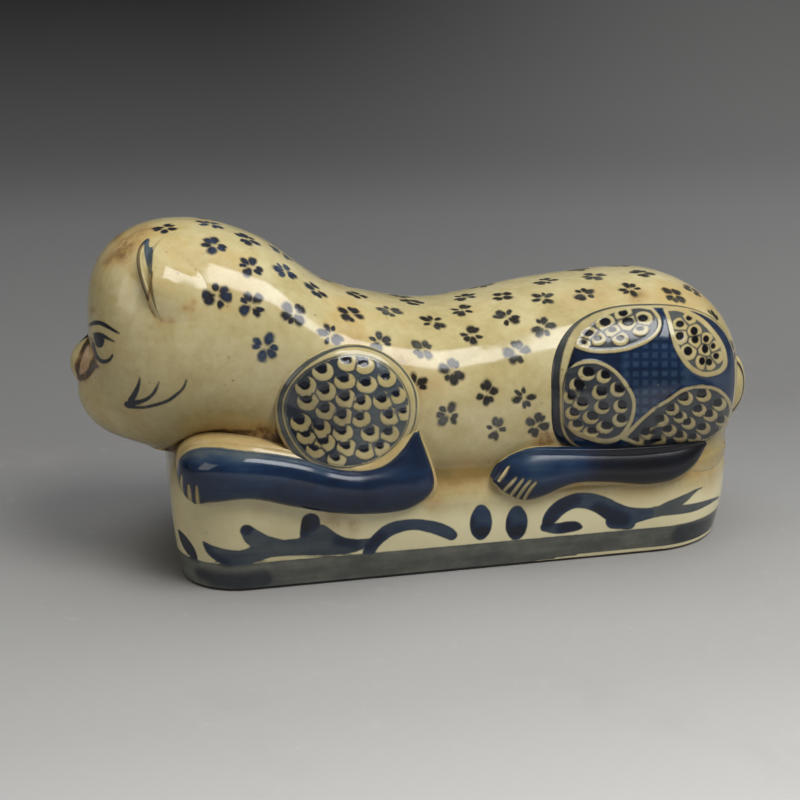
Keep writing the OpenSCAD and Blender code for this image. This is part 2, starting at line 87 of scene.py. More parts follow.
# Curves through the sections of a line, level at both ends
def along(line, x):
    xs = np.array([p[0] for p in line], float)
    vs = np.array([p[1] for p in line], float)
    slopes = np.zeros(len(line))
    slopes[1:-1] = (vs[2:] - vs[:-2]) / (xs[2:] - xs[:-2])
    x = np.asarray(x, float)
    i = np.clip(np.searchsorted(xs, x, "right") - 1, 0, len(line) - 2)
    run = xs[i + 1] - xs[i]
    s = np.clip((x - xs[i]) / run, 0, 1)
    a, b = vs[i], vs[i + 1]
    start, end = slopes[i] * run, slopes[i + 1] * run
    return a + s * start + s**2 * (3 * (b - a) - 2 * start - end) + s**3 * (2 * (a - b) + start + end)


def deck(x):
    return np.interp(x, [p[0] for p in DECK_LINE], [p[1] for p in DECK_LINE])


def signed_pow(v, p):
    return np.sign(v) * np.abs(v) ** p


def smooth(v, low, high):
    t = np.clip((v - low) / (high - low), 0, 1)
    return t * t * (3 - 2 * t)


def curve_through(points, steps):
    """Points on a smooth curve through the given ones, with any number of columns."""
    p = np.array(points, float)
    p = np.vstack([2 * p[0] - p[1], p, 2 * p[-1] - p[-2]])
    made = []
    for i in range(1, len(p) - 2):
        for t in np.arange(steps) / steps:
            made.append(0.5 * (
                2 * p[i] + (p[i + 1] - p[i - 1]) * t
                + (2 * p[i - 1] - 5 * p[i] + 4 * p[i + 1] - p[i + 2]) * t**2
                + (3 * p[i] - p[i - 1] - 3 * p[i + 1] + p[i + 2]) * t**3
            ))
    made.append(p[-2])
    return np.array(made)


# Surfaces of the body and the plinth
def cap_scale(x):
    front = np.clip((HEAD_X - x) / HEAD_REACH, 0, 1)
    rear = np.clip((x - RUMP_X) / RUMP_REACH, 0, 1)
    return (1 - front**FACE_POWER) ** (1 / FACE_POWER) * (1 - rear**RUMP_POWER) ** (1 / RUMP_POWER)


def muzzle_swell(x, y, z):
    q = np.sqrt((2 * y / MUZZLE_W) ** 2 + (2 * (z - MUZZLE_Z) / MUZZLE_SPAN) ** 2)
    front = np.clip((HEAD_X - x) / HEAD_REACH, 0, 1)
    return np.where(q < 1, MUZZLE_DEPTH * (1 + np.cos(np.pi * q)) / 2 * front, 0)


def body_side(x, z):
    mid = along(WIDEST_LINE, x)
    reach = np.where(z > mid, along(CROWN_LINE, x) - mid, mid - along(KEEL_LINE, x))
    left = cap_scale(x) ** SECTION_POWER - (np.abs(z - mid) / reach) ** SECTION_POWER
    return along(SIDE_LINE, x) * np.maximum(left, 0) ** (1 / SECTION_POWER)


def plinth_side(x, z):
    lean = FLARE * np.clip(z / deck(x), 0, 1)
    half = FOOT_HALF_W + lean

    def corner(r, d):
        return half - r + np.sqrt(np.maximum(r * r - d * d, 0))

    front = corner(FRONT_R + lean, CREST_X - x)
    rear = corner(REAR_R + lean, x - REAR_C)
    return np.where(x < CREST_X, front, np.where(x > REAR_C, rear, half))


def blended_side(low, high):
    """The wall of the plinth that passes into the body between two heights over the deck."""
    def side(x, z):
        body, base = body_side(x, z), plinth_side(x, z)
        return np.maximum(body, base + (body - base) * smooth(z - deck(x), low, high))
    return side


# Heights over the deck between which the plinth passes into the belly or a panel, the disc, and a limb
WALL_SEAT, DISC_SEAT, LIMB_SEAT, SEAT_INSET = (-7.0, 13.0), (-4.0, 20.0), (-2.0, 24.0), 0.4
wall_side, disc_side, limb_side = (blended_side(*seat) for seat in (WALL_SEAT, DISC_SEAT, LIMB_SEAT))


def end_x(y, z, start, reach, direction, power):
    mid = along(WIDEST_LINE, start)
    rise = np.where(z > mid, along(CROWN_LINE, start) - mid, mid - along(KEEL_LINE, start))
    across, up = np.abs(y) / along(SIDE_LINE, start), np.abs(z - mid) / rise
    gauge = across**SECTION_POWER + up**SECTION_POWER
    x = start + direction * reach * np.maximum(1 - gauge ** (power / SECTION_POWER), 0) ** (1 / power)
    return x - muzzle_swell(x, y, z)


# Mesh building
def grid_quads(rows, cols, closed):
    i = np.arange(rows - 1)[:, None] * cols
    j = np.arange(cols if closed else cols - 1)[None, :]
    k = (j + 1) % cols
    return np.stack([i + j, i + k, i + cols + k, i + cols + j], -1).reshape(-1, 4)


def fan(ring, tip):
    ring = np.asarray(ring)
    return np.stack([ring, np.roll(ring, -1), np.full(len(ring), tip)], -1)


def grid_normals(points):
    """Normals of rings of points round a long axis, pointing out of it."""
    around = np.roll(points, -1, 1) - np.roll(points, 1, 1)
    n = np.cross(np.gradient(points, axis=0), around)
    n /= np.maximum(np.linalg.norm(n, axis=-1, keepdims=True), TINY)
    out = points - points.mean(1, keepdims=True)
    return n * np.sign((n * out).sum(-1).mean())


class Piece:
    """Points and faces of one piece, in millimetres, with its painting as named values per point."""
    def __init__(self, name, points, smooth_faces, flat_faces=()):
        self.name = name
        self.points = np.asarray(points, float).reshape(-1, 3)
        self.smooth_faces = list(smooth_faces)
        self.flat_faces = list(flat_faces)
        self.values = {}
        self.normals = None

    def tree(self):
        faces = [f for part in self.smooth_faces + self.flat_faces for f in part.tolist()]
        return BVHTree.FromPolygons(self.points.tolist(), faces)

    def mirrored(self, name):
        turned = [[f[:, ::-1] for f in part] for part in (self.smooth_faces, self.flat_faces)]
        other = Piece(name, self.points * [1, -1, 1], *turned)
        other.values = self.values
        return other

    def build(self, material, slot, node):
        mesh = bpy.data.meshes.new(self.name)
        parts = self.smooth_faces + self.flat_faces
        loops = np.concatenate([f.ravel() for f in parts])
        sizes = np.concatenate([np.full(len(f), f.shape[1]) for f in parts])
        flat_count = sum(len(f) for f in self.flat_faces)
        mesh.vertices.add(len(self.points))
        mesh.vertices.foreach_set("co", (self.points * MM).astype(np.float32).ravel())
        mesh.loops.add(len(loops))
        mesh.loops.foreach_set("vertex_index", loops.astype(np.int32))
        mesh.polygons.add(len(sizes))
        mesh.polygons.foreach_set("loop_start", (np.cumsum(sizes) - sizes).astype(np.int32))
        mesh.polygons.foreach_set("use_smooth", np.arange(len(sizes)) < len(sizes) - flat_count)
        mesh.update(calc_edges=True)
        if self.normals is not None:
            mesh.normals_split_custom_set_from_vertices(self.normals.tolist())
        for key, value in self.values.items():
            kind, field = ("FLOAT_VECTOR", "vector") if value.ndim == 2 else ("FLOAT", "value")
            data = mesh.attributes.new(key, kind, "POINT").data
            data.foreach_set(field, value.astype(np.float32).ravel())
        mesh.materials.append(material)
        made = bpy.data.objects.new(self.name, mesh)
        bpy.context.scene.collection.objects.link(made)
        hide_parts(node)
        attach(made, "root")


# The body is a loft of arches that stand in the plinth, split into trunk and head at the neck
ARCH_POINTS, FLOOR_POINTS, ARCH_SAMPLES, CAP_SAMPLES = 340, 10, 900, 2000
SINK, FLATTEST = 8.0, math.radians(86)
# Glaze in the corner of the head and the rump, and where the belly runs into the plinth
HEAD_FILLET, RUMP_FILLET, FILLET_GROWS, FILLET_ROOM = 4.0, 10.0, (RUMP_X - 10, RUMP_X + 25), 4.0
BELLY_FROM, BELLY_TO = (NECK_X - 4, SHOULDER_X), (RUMP_X, RUMP_X + 30)


def arch(x, scale):
    half_w = along(SIDE_LINE, x) * scale
    mid = along(WIDEST_LINE, x)
    up = (along(CROWN_LINE, x) - mid) * scale
    down = (mid - along(KEEL_LINE, x)) * scale
    drop = max(mid - deck(x) + SINK, 0) / max(down, TINY)
    low = min(math.asin(min(drop, 1) ** (SECTION_POWER / 2)), FLATTEST)
    a = np.linspace(-low, math.pi + low, ARCH_SAMPLES)
    y = half_w * signed_pow(np.cos(a), 2 / SECTION_POWER)
    z = mid + np.where(np.sin(a) > 0, up, down) * signed_pow(np.sin(a), 2 / SECTION_POWER)
    run = np.concatenate([[0], np.cumsum(np.hypot(np.diff(y), np.diff(z)))])
    at = np.linspace(0, run[-1], ARCH_POINTS)
    y, z = np.interp(at, run, y), np.interp(at, run, z)
    floor_y = np.linspace(y[-1], y[0], FLOOR_POINTS + 2)[1:-1]
    y = np.concatenate([y, floor_y])
    z = np.concatenate([z, np.full(FLOOR_POINTS, z[0])])
    x = x - muzzle_swell(x, y, z)
    return np.stack([x, y, z], -1)


def cap_stations(start, reach, direction, power, step):
    """Sections of a rounded end at even steps over its curve, with their size."""
    half = along(SIDE_LINE, start)
    a = np.linspace(0, math.pi / 2, CAP_SAMPLES)
    depth = reach * np.sin(a) ** (2 / power)
    width = half * np.cos(a) ** (2 / power)
    run = np.concatenate([[0], np.cumsum(np.hypot(np.diff(depth), np.diff(width)))])
    at = np.linspace(0, run[-1], int(run[-1] / step))[1:-1]
    return [
        (start + direction * d, w / half)
        for d, w in zip(np.interp(at, run, depth), np.interp(at, run, width))
    ]


def seat(points):
    """The belly runs down into the plinth in one soft curve, and glaze fills the corner under the head."""
    arches = points[:, :ARCH_POINTS]
    x, y, z = arches[..., 0], arches[..., 1], arches[..., 2]
    out, over = np.abs(y), z - deck(x)
    edge = plinth_side(np.clip(x, FOOT_FRONT, FOOT_REAR), deck(x)) - SEAT_INSET
    fillet = HEAD_FILLET + (RUMP_FILLET - HEAD_FILLET) * smooth(x, *FILLET_GROWS)
    corner = 1 - np.sqrt(1 - (1 - np.clip(over / fillet, 0, 1)) ** 2)
    room = edge - out
    filled = out + np.minimum(fillet * corner * smooth(room, 0, FILLET_ROOM), np.maximum(room, 0))
    flowing = np.maximum(out, out + (edge - out) * (1 - smooth(over, *WALL_SEAT)))
    share = smooth(x, *BELLY_FROM) * (1 - smooth(x, *BELLY_TO))
    arches[..., 1] = np.sign(y) * (filled + (flowing - filled) * share)
    across = np.linspace(0, 1, FLOOR_POINTS + 2)[1:-1]
    first, last = arches[:, :1, 1], arches[:, -1:, 1]
    points[:, ARCH_POINTS:, 1] = last + (first - last) * across


# Chin and forehead are a little fuller than the plain cap: place, radius and height, drawn out sideways
FACE_SWELLS, SWELL_DRAWN = [((-144, 0, 60), 14, 2.6), ((-140, 0, 127), 17, 1.6)], [1, 0.35, 1]
TRUNK_STEP, HEAD_STEP = 1.0, 0.6
trunk_stations = [(x, 1.0) for x in np.arange(NECK_X, RUMP_X + TRUNK_STEP / 10, TRUNK_STEP)]
trunk_stations += cap_stations(RUMP_X, RUMP_REACH, 1, RUMP_POWER, TRUNK_STEP)
head_stations = [(x, 1.0) for x in np.linspace(NECK_X, HEAD_X, int((NECK_X - HEAD_X) / HEAD_STEP))]
head_stations += cap_stations(HEAD_X, HEAD_REACH, -1, FACE_POWER, HEAD_STEP)
body_grid = np.array([arch(x, scale) for x, scale in head_stations[:0:-1] + trunk_stations])
seat(body_grid)
body_normals = grid_normals(body_grid)
for place, radius, height in FACE_SWELLS:
    away = ((body_grid - place) ** 2 * SWELL_DRAWN).sum(-1)
    body_grid += body_normals * (height * np.exp(-away / radius**2))[..., None]
body_normals = grid_normals(body_grid)


def shell(name, grid, normals, outward):
    rows, cols = grid.shape[:2]
    tip = grid[-1].mean(0)
    neck_centre = grid[0].mean(0)
    points = np.vstack([grid.reshape(-1, 3), [tip], [neck_centre]])
    faces = [grid_quads(rows, cols, True), fan(np.arange(cols) + (rows - 1) * cols, rows * cols)]
    neck = fan(np.arange(cols)[::-1], rows * cols + 1)
    if outward:
        faces, neck = [f[:, ::-1] for f in faces], neck[:, ::-1]
    piece = Piece(name, points, faces, [neck])
    direction = -1.0 if outward else 1.0
    piece.normals = np.vstack([normals.reshape(-1, 3), [[direction, 0, 0]], [[-direction, 0, 0]]])
    return piece


head_rows = len(head_stations)
trunk = shell("glazed_trunk", body_grid[head_rows - 1:], body_normals[head_rows - 1:], False)
head = shell("glazed_head", body_grid[:head_rows][::-1], body_normals[:head_rows][::-1], True)


# Plinth: one wall round the foot, with a soft top edge and a shelf
PLINTH_STEP, TOP_ROUND, TOP_DROP, FOOT_ROUND, BELLY = 0.9, 6.5, 9.0, 1.4, 0.9
FOOT_RINGS, WALL_RINGS, TOP_RINGS = 6, 46, 14


def corner_points(cx, cy, r, start, steps):
    a = np.radians(start + 90 * np.arange(steps + 1) / steps)
    return np.stack([cx + r * np.cos(a), cy + r * np.sin(a)], -1)


def outline(outset):
    front_r, rear_r = max(FRONT_R + outset, 1), max(REAR_R + outset, 1)
    half = FOOT_HALF_W + outset
    front_c, rear_c = FOOT_FRONT - outset + front_r, FOOT_REAR + outset - rear_r
    front_steps, rear_steps = (int(r * math.pi / 2 / PLINTH_STEP) for r in (FRONT_R, REAR_R))
    side = np.linspace(0, 1, int((REAR_C - CREST_X) / PLINTH_STEP))[1:-1]
    front_end = np.linspace(1, -1, int(2 * (FOOT_HALF_W - FRONT_R) / PLINTH_STEP))[1:-1] * (half - front_r)
    rear_end = np.linspace(-1, 1, int(2 * (FOOT_HALF_W - REAR_R) / PLINTH_STEP))[1:-1] * (half - rear_r)
    side_x = front_c + (rear_c - front_c) * side
    return np.vstack([
        corner_points(front_c, front_r - half, front_r, 180, front_steps),
        np.stack([side_x, np.full(len(side), -half)], -1),
        corner_points(rear_c, rear_r - half, rear_r, 270, rear_steps),
        np.stack([np.full(len(rear_end), FOOT_REAR + outset), rear_end], -1),
        corner_points(rear_c, half - rear_r, rear_r, 0, rear_steps),
        np.stack([side_x[::-1], np.full(len(side), half)], -1),
        corner_points(front_c, half - front_r, front_r, 90, front_steps),
        np.stack([np.full(len(front_end), FOOT_FRONT - outset), front_end], -1),
    ])


def foot_ring(outset, z):
    xy = outline(outset)
    return np.column_stack([xy, np.full(len(xy), z)])


def deck_ring(outset, drop):
    xy = outline(outset)
    return np.column_stack([xy, deck(xy[:, 0]) - drop])


plinth_rings = [
    foot_ring(-FOOT_ROUND * (1 - math.sin(a)), FOOT_ROUND * (1 - math.cos(a)))
    for a in np.radians(np.linspace(0, 90, FOOT_RINGS))
]
low_ring = plinth_rings[-1][:, 2]
for t in np.linspace(0, 1, WALL_RINGS)[1:]:
    ring = deck_ring(FLARE * t + BELLY * math.sin(math.pi * t), TOP_DROP)
    ring[:, 2] = low_ring + (ring[:, 2] - low_ring) * t
    plinth_rings.append(ring)
for a in np.radians(np.linspace(0, 90, TOP_RINGS)[1:]):
    plinth_rings.append(deck_ring(FLARE - TOP_ROUND * (1 - math.cos(a)), TOP_DROP * (1 - math.sin(a))))
shown_rings = len(plinth_rings)
plinth_rings += [
    deck_ring(FLARE - SHELF_W, 0), deck_ring(FLARE - SHELF_W, WALL), deck_ring(FLARE - WALL, WALL),
    foot_ring(-WALL, 0), plinth_rings[0],
]
plinth_grid = np.array(plinth_rings[:-1])
rows, cols = plinth_grid.shape[:2]
quads = grid_quads(rows + 1, cols, True) % (rows * cols)
shown = (shown_rings - 1) * cols
plinth = Piece("glazed_plinth", plinth_grid, [quads[:shown]], [quads[shown:]])


# Places of the photograph on the surfaces, and brush strokes drawn there
def to_photo(points):
    out = points - CAMERA_AT
    depth = -(out @ CAMERA_BACK)
    across, up = out @ CAMERA_RIGHT, out @ CAMERA_UP
    return IMAGE_PX / 2 + FOCAL_PX * np.stack([across / depth, -up / depth], -1)


def near_side(points):
    return np.stack([points[:, 0], -np.abs(points[:, 1]), points[:, 2]], -1)


def cast(pixel, trees):
    """The first surface that a place of the photograph shows, and its normal there."""
    ray = (
        -CAMERA_BACK * FOCAL_PX
        + CAMERA_RIGHT * (pixel[0] - IMAGE_PX / 2)
        + CAMERA_UP * (IMAGE_PX / 2 - pixel[1])
    )
    ray = Vector(ray).normalized()
    hits = [tree.ray_cast(Vector(CAMERA_AT), ray) for tree in trees]
    hits = [h for h in hits if h[0] is not None]
    hits = hits or [trees[0].find_nearest(Vector(CAMERA_AT) + ray * OBJECT_AWAY)]
    hit, normal, _, _ = min(hits, key=lambda h: (h[0] - Vector(CAMERA_AT)).length)
    return np.array(hit), np.array(normal)


def fine_strokes(strokes):
    return [curve_through(s if len(s) > 1 else s * 2, STROKE_STEPS) for s in strokes]


def laid(strokes, tree):
    """Strokes of the photograph as strokes in space, in millimetres, on a surface."""
    made = []
    for stroke in fine_strokes(strokes):
        places = np.array([cast(p, [tree])[0] for p in stroke])
        size = np.linalg.norm(places - CAMERA_AT, axis=1) / FOCAL_PX
        made.append(np.column_stack([places, stroke[:, 2] * size]))
    return made


def brush(points, strokes):
    """How far points lie inside brush strokes, less than 0 outside.
    The last column of a stroke is the half width of the brush."""
    field = np.full(len(points), -FAR)
    for stroke in strokes:
        low, high = stroke[:, :-1].min(0) - FAR, stroke[:, :-1].max(0) + FAR
        near = np.flatnonzero(((points > low) & (points < high)).all(1))
        p = points[near]
        best = np.full(len(near), -FAR)
        for a, b in zip(stroke[:-1], stroke[1:]):
            edge = b[:-1] - a[:-1]
            t = np.clip((p - a[:-1]) @ edge / max(edge @ edge, TINY), 0, 1)
            away = np.linalg.norm(p - a[:-1] - t[:, None] * edge, axis=1)
            best = np.maximum(best, a[-1] + (b[-1] - a[-1]) * t - away)
        field[near] = np.maximum(field[near], best)
    return field


def inside_outline(places, corners):
    """How far places lie inside a closed outline of smooth curves, less than 0 outside."""
    polygon = curve_through(list(corners) + [corners[0]], OUTLINE_STEPS)[:-1]
    x, y = places[:, 0], places[:, 1]
    best = np.full(len(places), 1e9)
    inside = np.zeros(len(places), bool)
    for a, b in zip(polygon, np.roll(polygon, -1, 0)):
        edge = b - a
        t = np.clip(((x - a[0]) * edge[0] + (y - a[1]) * edge[1]) / max(edge @ edge, TINY), 0, 1)
        best = np.minimum(best, np.hypot(x - a[0] - t * edge[0], y - a[1] - t * edge[1]))
        if a[1] != b[1]:
            inside ^= ((a[1] > y) != (b[1] > y)) & (x < (b[0] - a[0]) * (y - a[1]) / (b[1] - a[1]) + a[0])
    return np.where(inside, best, -best)


def smudges(places, marks):
    """Soft round marks: place, radius and strength."""
    total = np.zeros(len(places))
    for x, y, radius, strength in marks:
        total += strength * np.exp(-((places[:, 0] - x) ** 2 + (places[:, 1] - y) ** 2) / radius**2)
    return total


def bled(places, strokes, low, high=1.0):
    """Strokes with edges that run out softly between two distances, from 0 to 1."""
    return smooth(brush(places, strokes), low, high)


def paint(piece, **fields):
    """Painted values of a piece: numbers for all of it, or arrays that go on to its skirt and back."""
    for key, field in fields.items():
        flat = np.ravel(field).astype(float)
        made = np.full(len(piece.points), flat.min())
        made[:len(flat)] = flat
        piece.values[key] = made


# Spots of brush dabs, by their places in the photograph
FLOWER_PIXELS = [
    (165, 228), (210, 224), (214, 245), (247, 239), (251, 267), (285, 271), (217, 296), (252, 305),
    (294, 313), (316, 290), (265, 347), (331, 335), (351, 314), (357, 295), (380, 342), (390, 311),
    (412, 302), (423, 349.5), (433, 322), (415, 386), (452, 371), (462, 310), (464, 297), (472, 335),
    (448, 415), (487, 393), (496, 429), (502, 296), (507, 317), (517, 352), (524, 398), (537, 425),
    (543, 298), (543, 327), (545, 281), (584, 294), (594, 276), (630, 289), (642, 273), (674, 295),
    (692, 290), (714, 318), (733, 351), (281, 253), (320, 277),
]
FLOWER_REACH, FLOWER_MARGIN, FLOWER_ROOM, FLOWER_DRIFT, EAR_END_X = 7.5, 1.3, 12.0, 2.0, -95.0
FLOWER_SEED, FLOWER_SIZES, FLOWER_TONES, UPRIGHT = 7, (0.92, 1.12), (0.6, 1.02), 0.3
trunk_tree, head_tree, plinth_tree = trunk.tree(), head.tree(), plinth.tree()
random = np.random.default_rng(FLOWER_SEED)
flowers = [cast(pixel, [trunk_tree, head_tree]) for pixel in FLOWER_PIXELS]
for place, _ in list(flowers):
    drift = random.normal(0, FLOWER_DRIFT) * (place[0] > EAR_END_X)
    other = place * [1, -1, 1] + [drift, 0, 0]
    if min(np.linalg.norm(other - p) for p, _ in flowers) > FLOWER_ROOM:
        hit, normal, _, _ = (trunk_tree if other[0] > NECK_X else head_tree).find_nearest(Vector(other))
        flowers.append((np.array(hit), np.array(normal)))
flower_turns = random.uniform(0, 2 * math.pi, len(flowers))
flower_sizes = random.uniform(*FLOWER_SIZES, len(flowers))
flower_tones = random.uniform(*FLOWER_TONES, len(flowers))
flower_kinds = random.uniform(0.0, 1.0, len(flowers))
flower_places = np.array([place for place, _ in flowers])
flower_gaps = np.linalg.norm(flower_places[:, None] - flower_places[None], axis=-1)
np.fill_diagonal(flower_gaps, 2 * FLOWER_REACH)
flower_rooms = np.minimum(flower_gaps.min(1) / 2, FLOWER_REACH)


def paint_flowers(piece):
    """Each point gets its place in the nearest spot, and how much of the spot's room it lies out."""
    local = np.zeros((len(piece.points), 3))
    local[:, 2] = FAR
    nearest = np.full(len(piece.points), FAR)
    tone, kind = np.zeros((2, len(piece.points)))
    draws = zip(flowers, flower_turns, flower_sizes, flower_tones, flower_kinds, flower_rooms)
    for (centre, normal), turn, size, dark, shape, room in draws:
        away = np.linalg.norm(piece.points - centre, axis=1)
        near = np.flatnonzero((away < FLOWER_REACH * FLOWER_MARGIN) & (away < nearest))
        nearest[near] = away[near]
        e1 = np.cross([0, 0, 1], normal)
        if np.linalg.norm(e1) < UPRIGHT:
            e1 = np.array([1.0, 0, 0])
        e1 /= np.linalg.norm(e1)
        out = piece.points[near] - centre
        u, v = out @ e1 / size, out @ np.cross(normal, e1) / size
        local[near, 0] = u * math.cos(turn) - v * math.sin(turn)
        local[near, 1] = u * math.sin(turn) + v * math.cos(turn)
        local[near, 2] = away[near] * FLOWER_REACH / room
        tone[near] = dark
        kind[near] = shape
    piece.values["bloom"] = local
    paint(piece, bloom_tone=tone, bloom_kind=kind)


paint_flowers(trunk)
paint_flowers(head)

# Brush strokes of the face: place in the photograph and half width of the brush
FACE_STROKES = fine_strokes([
    [(90.5, 324.5, 1.6), (95, 322.8, 2.2), (101, 323.2, 2.2), (109, 327.5, 1.8), (114, 330.5, 1.5),
     (118.8, 333.2, 0.9)],
    [(93.8, 334, 1.2), (99, 333.8, 1.6), (105, 336.8, 1.7), (110, 339.6, 1.3), (114.6, 341.8, 0.8)],
    [(97.5, 337, 4.0), (99.5, 340, 5.0), (99.5, 343.5, 4.2)],
    [(93.2, 343.5, 1.1), (94.8, 350, 1.2), (97.2, 356.5, 1.6), (100.5, 360.5, 2.0), (105, 361.6, 2.2),
     (109.5, 359.6, 1.8), (112.6, 355, 1.2)],
    [(127, 404.2, 3.0), (132, 403.6, 3.6)],
    [(131, 400.5, 3.2), (135, 393.5, 2.8), (138.3, 385.5, 1.9), (140, 377.3, 0.9)],
    [(134, 403, 2.6), (145, 400, 2.0), (152.5, 394.5, 1.8), (156.5, 388, 1.5), (159, 382, 0.8)],
    [(128, 406.3, 1.8), (140, 407.6, 1.5), (154, 405.3, 1.7), (167, 401, 1.8), (177, 394.2, 1.7),
     (183.5, 387.5, 1.5), (186.6, 379.6, 0.9)],
])
FACE_STAIN_LINES = fine_strokes([
    [(91.5, 339, 1.0), (93.5, 346, 1.2), (95.5, 356, 1.2)],
    [(90, 338, 1.4), (84.5, 348, 2.2), (80.5, 357, 2.2), (77.5, 366, 2.4), (80.5, 377, 2.6)],
    [(95, 358, 2.2), (92, 366, 3.0), (86.5, 374, 3.2), (80.5, 378, 2.8)],
    [(93, 365, 1.6), (98, 366.5, 1.0)],
    [(147, 297, 1.2), (150.5, 307, 1.0), (155, 317, 0.7)],
])
SEAM_LINES = fine_strokes([
    [(168, 449, 1.2), (178, 444, 1.4), (190, 438.5, 1.6), (205, 434.5, 1.8), (225, 433, 2.0),
     (245, 434.5, 2.2), (262, 437, 2.8), (280, 441, 3.0), (296, 447, 2.6)],
])
HEAD_STAINS = [
    (122, 248, 12, 0.42), (110, 258, 10, 0.42), (103, 268, 9, 0.36), (131, 241, 12, 0.42),
    (142, 232, 10, 0.36), (126, 262, 9, 0.45), (133, 276, 8, 0.3), (96, 284, 7, 0.35),
    (92, 310, 6, 0.45), (118, 239, 7, 0.35), (185, 308, 5, 0.42), (194, 302, 5, 0.4), (193, 310, 4, 0.3),
    (160, 321, 6, 0.5), (171, 321, 5, 0.5), (88, 350, 9, 0.45), (82, 388, 10, 0.25),
    (135, 415, 14, 0.24), (230, 428, 24, 0.3), (262, 434, 13, 0.75), (200, 441, 14, 0.4),
    (112, 372, 14, 0.18), (160, 345, 20, 0.12), (96, 400, 14, 0.24), (152, 228, 10, 0.3),
    (240, 262, 20, 0.12), (150, 262, 10, 0.16), (232, 372, 22, 0.12), (178, 372, 18, 0.1),
    (94, 367, 7, 0.5), (86, 378, 6, 0.4),
]
# Painted shade on the lower cheek and the neck, and the stretch between the elbow and the hind toes
LOW_SHADE, LOW_SHADE_Z, LOW_SHADE_FROM, LOW_SHADE_TO = 0.3, (102, 68), (-140, -118), (-58, -80)
GAP_FROM, GAP_TO = (-20, -8), (40, 22)


def limb_gap(points):
    return smooth(points[:, 0], *GAP_FROM) * smooth(points[:, 0], *GAP_TO)


# Painted shade: the lower cheek and neck darker towards the bottom
def low_shade(points):
    x, z = points[:, 0], points[:, 2]
    return LOW_SHADE * smooth(z, *LOW_SHADE_Z) * smooth(x, *LOW_SHADE_FROM) * smooth(x, *LOW_SHADE_TO)


def over_deck(points):
    return points[:, 2] - deck(points[:, 0])


# Strokes show only where the head faces the camera, and stains fade on the far cheek
FACE_TONE, FACE_BLUE, FACING_LEAST = 0.72, 0.3, -0.25
LINE_STAIN, LINE_BLEED, SEAM_STAIN, SEAM_BLEED = 0.7, -2.2, 0.8, -3.5
HEAD_SEAM, HEAD_SEAM_FALL, CHIN_RUN = 0.95, 2.8, 12.0
FAR_CHEEK_LESS, FAR_CHEEK_Y = 0.65, (4, 18)
head_places = to_photo(near_side(head.points))
facing = (head.normals * [1, 0, 1] - np.abs(head.normals) * [0, 1, 0]) @ CAMERA_BACK
face_ink = brush(head_places, FACE_STROKES) * PX_MM
seam = np.exp(-np.maximum(over_deck(head.points), 0) / HEAD_SEAM_FALL)
over_plinth = smooth(head.points[:, 0], FOOT_FRONT - CHIN_RUN, FOOT_FRONT)
lines = LINE_STAIN * bled(head_places, FACE_STAIN_LINES, LINE_BLEED)
lines += SEAM_STAIN * bled(head_places, SEAM_LINES, SEAM_BLEED)
near_share = 1 - FAR_CHEEK_LESS * smooth(head.points[:, 1], *FAR_CHEEK_Y)
spread = smudges(head_places, HEAD_STAINS) * near_share
paint(
    head,
    ink=np.where(facing > FACING_LEAST, face_ink, -FAR),
    tone=FACE_TONE,
    blue=FACE_BLUE,
    stain=np.clip(spread + lines + HEAD_SEAM * seam * over_plinth, 0, 1),
    dirt=low_shade(head.points),
)

# Trunk: painted shade lies in its crease with the plinth, and between the limbs above the plinth's lip, which
# is left lighter
# Stains, with soft spots of painted shade near the elbow and in the crease between the limbs
TRUNK_STAINS_AND_SHADE = [
    (285, 450, 18, 0.9), (275, 436, 14, 0.7), (305, 464, 14, 0.9), (546, 440, 9, 0.9),
    (538, 450, 9, 0.6), (450, 380, 40, 0.14), (480, 440, 40, 0.12), (355, 340, 13, 0.4),
    (600, 290, 40, 0.14), (690, 300, 25, 0.3), (718, 340, 18, 0.35), (420, 325, 40, 0.12),
    (520, 310, 40, 0.12), (637, 296, 12, 0.45), (405, 395, 16, 0.25), (397, 355, 12, 0.25),
    (433, 490, 12, 0.3), (420, 418, 12, 0.2), (570, 302, 14, 0.2), (330, 330, 12, 0.2),
    (735, 360, 12, 0.3), (462, 472, 24, 0.2), (405, 360, 14, 0.28), (410, 400, 14, 0.28),
    (430, 385, 20, 0.2), (500, 375, 24, 0.14), (540, 380, 18, 0.14), (350, 322, 16, 0.2),
    (600, 297, 14, 0.22), (660, 296, 14, 0.25), (540, 436, 12, 0.3), (480, 312, 30, 0.1),
]
TRUNK_STROKES = fine_strokes([
    [(403, 382, 1.0), (408, 398, 1.3), (411.5, 417, 1.2), (415.5, 434, 1.5)],
])
TRUNK_TONE, TRUNK_BLUE, TRUNK_SEAM, TRUNK_SEAM_FALL = 0.35, 0.2, 0.25, 2.0
LIP_LESS_SHADE, LIP_OVER = 0.65, (2, -2)
CREASE_SHADE, CREASE_AT, CREASE_FADE = 0.54, 2.0, (2, 17)
FOLD_SHADE, FOLD_AT, FOLD_FADE = 0.5, 5.0, (1, 9)
trunk_places = to_photo(near_side(trunk.points))
trunk_over, trunk_gap = over_deck(trunk.points), limb_gap(trunk.points)
seam = np.exp(-np.maximum(trunk_over, 0) / TRUNK_SEAM_FALL)
lines = SEAM_STAIN * bled(trunk_places, SEAM_LINES, SEAM_BLEED)
lip = 1 - LIP_LESS_SHADE * trunk_gap * smooth(trunk_over, *LIP_OVER)
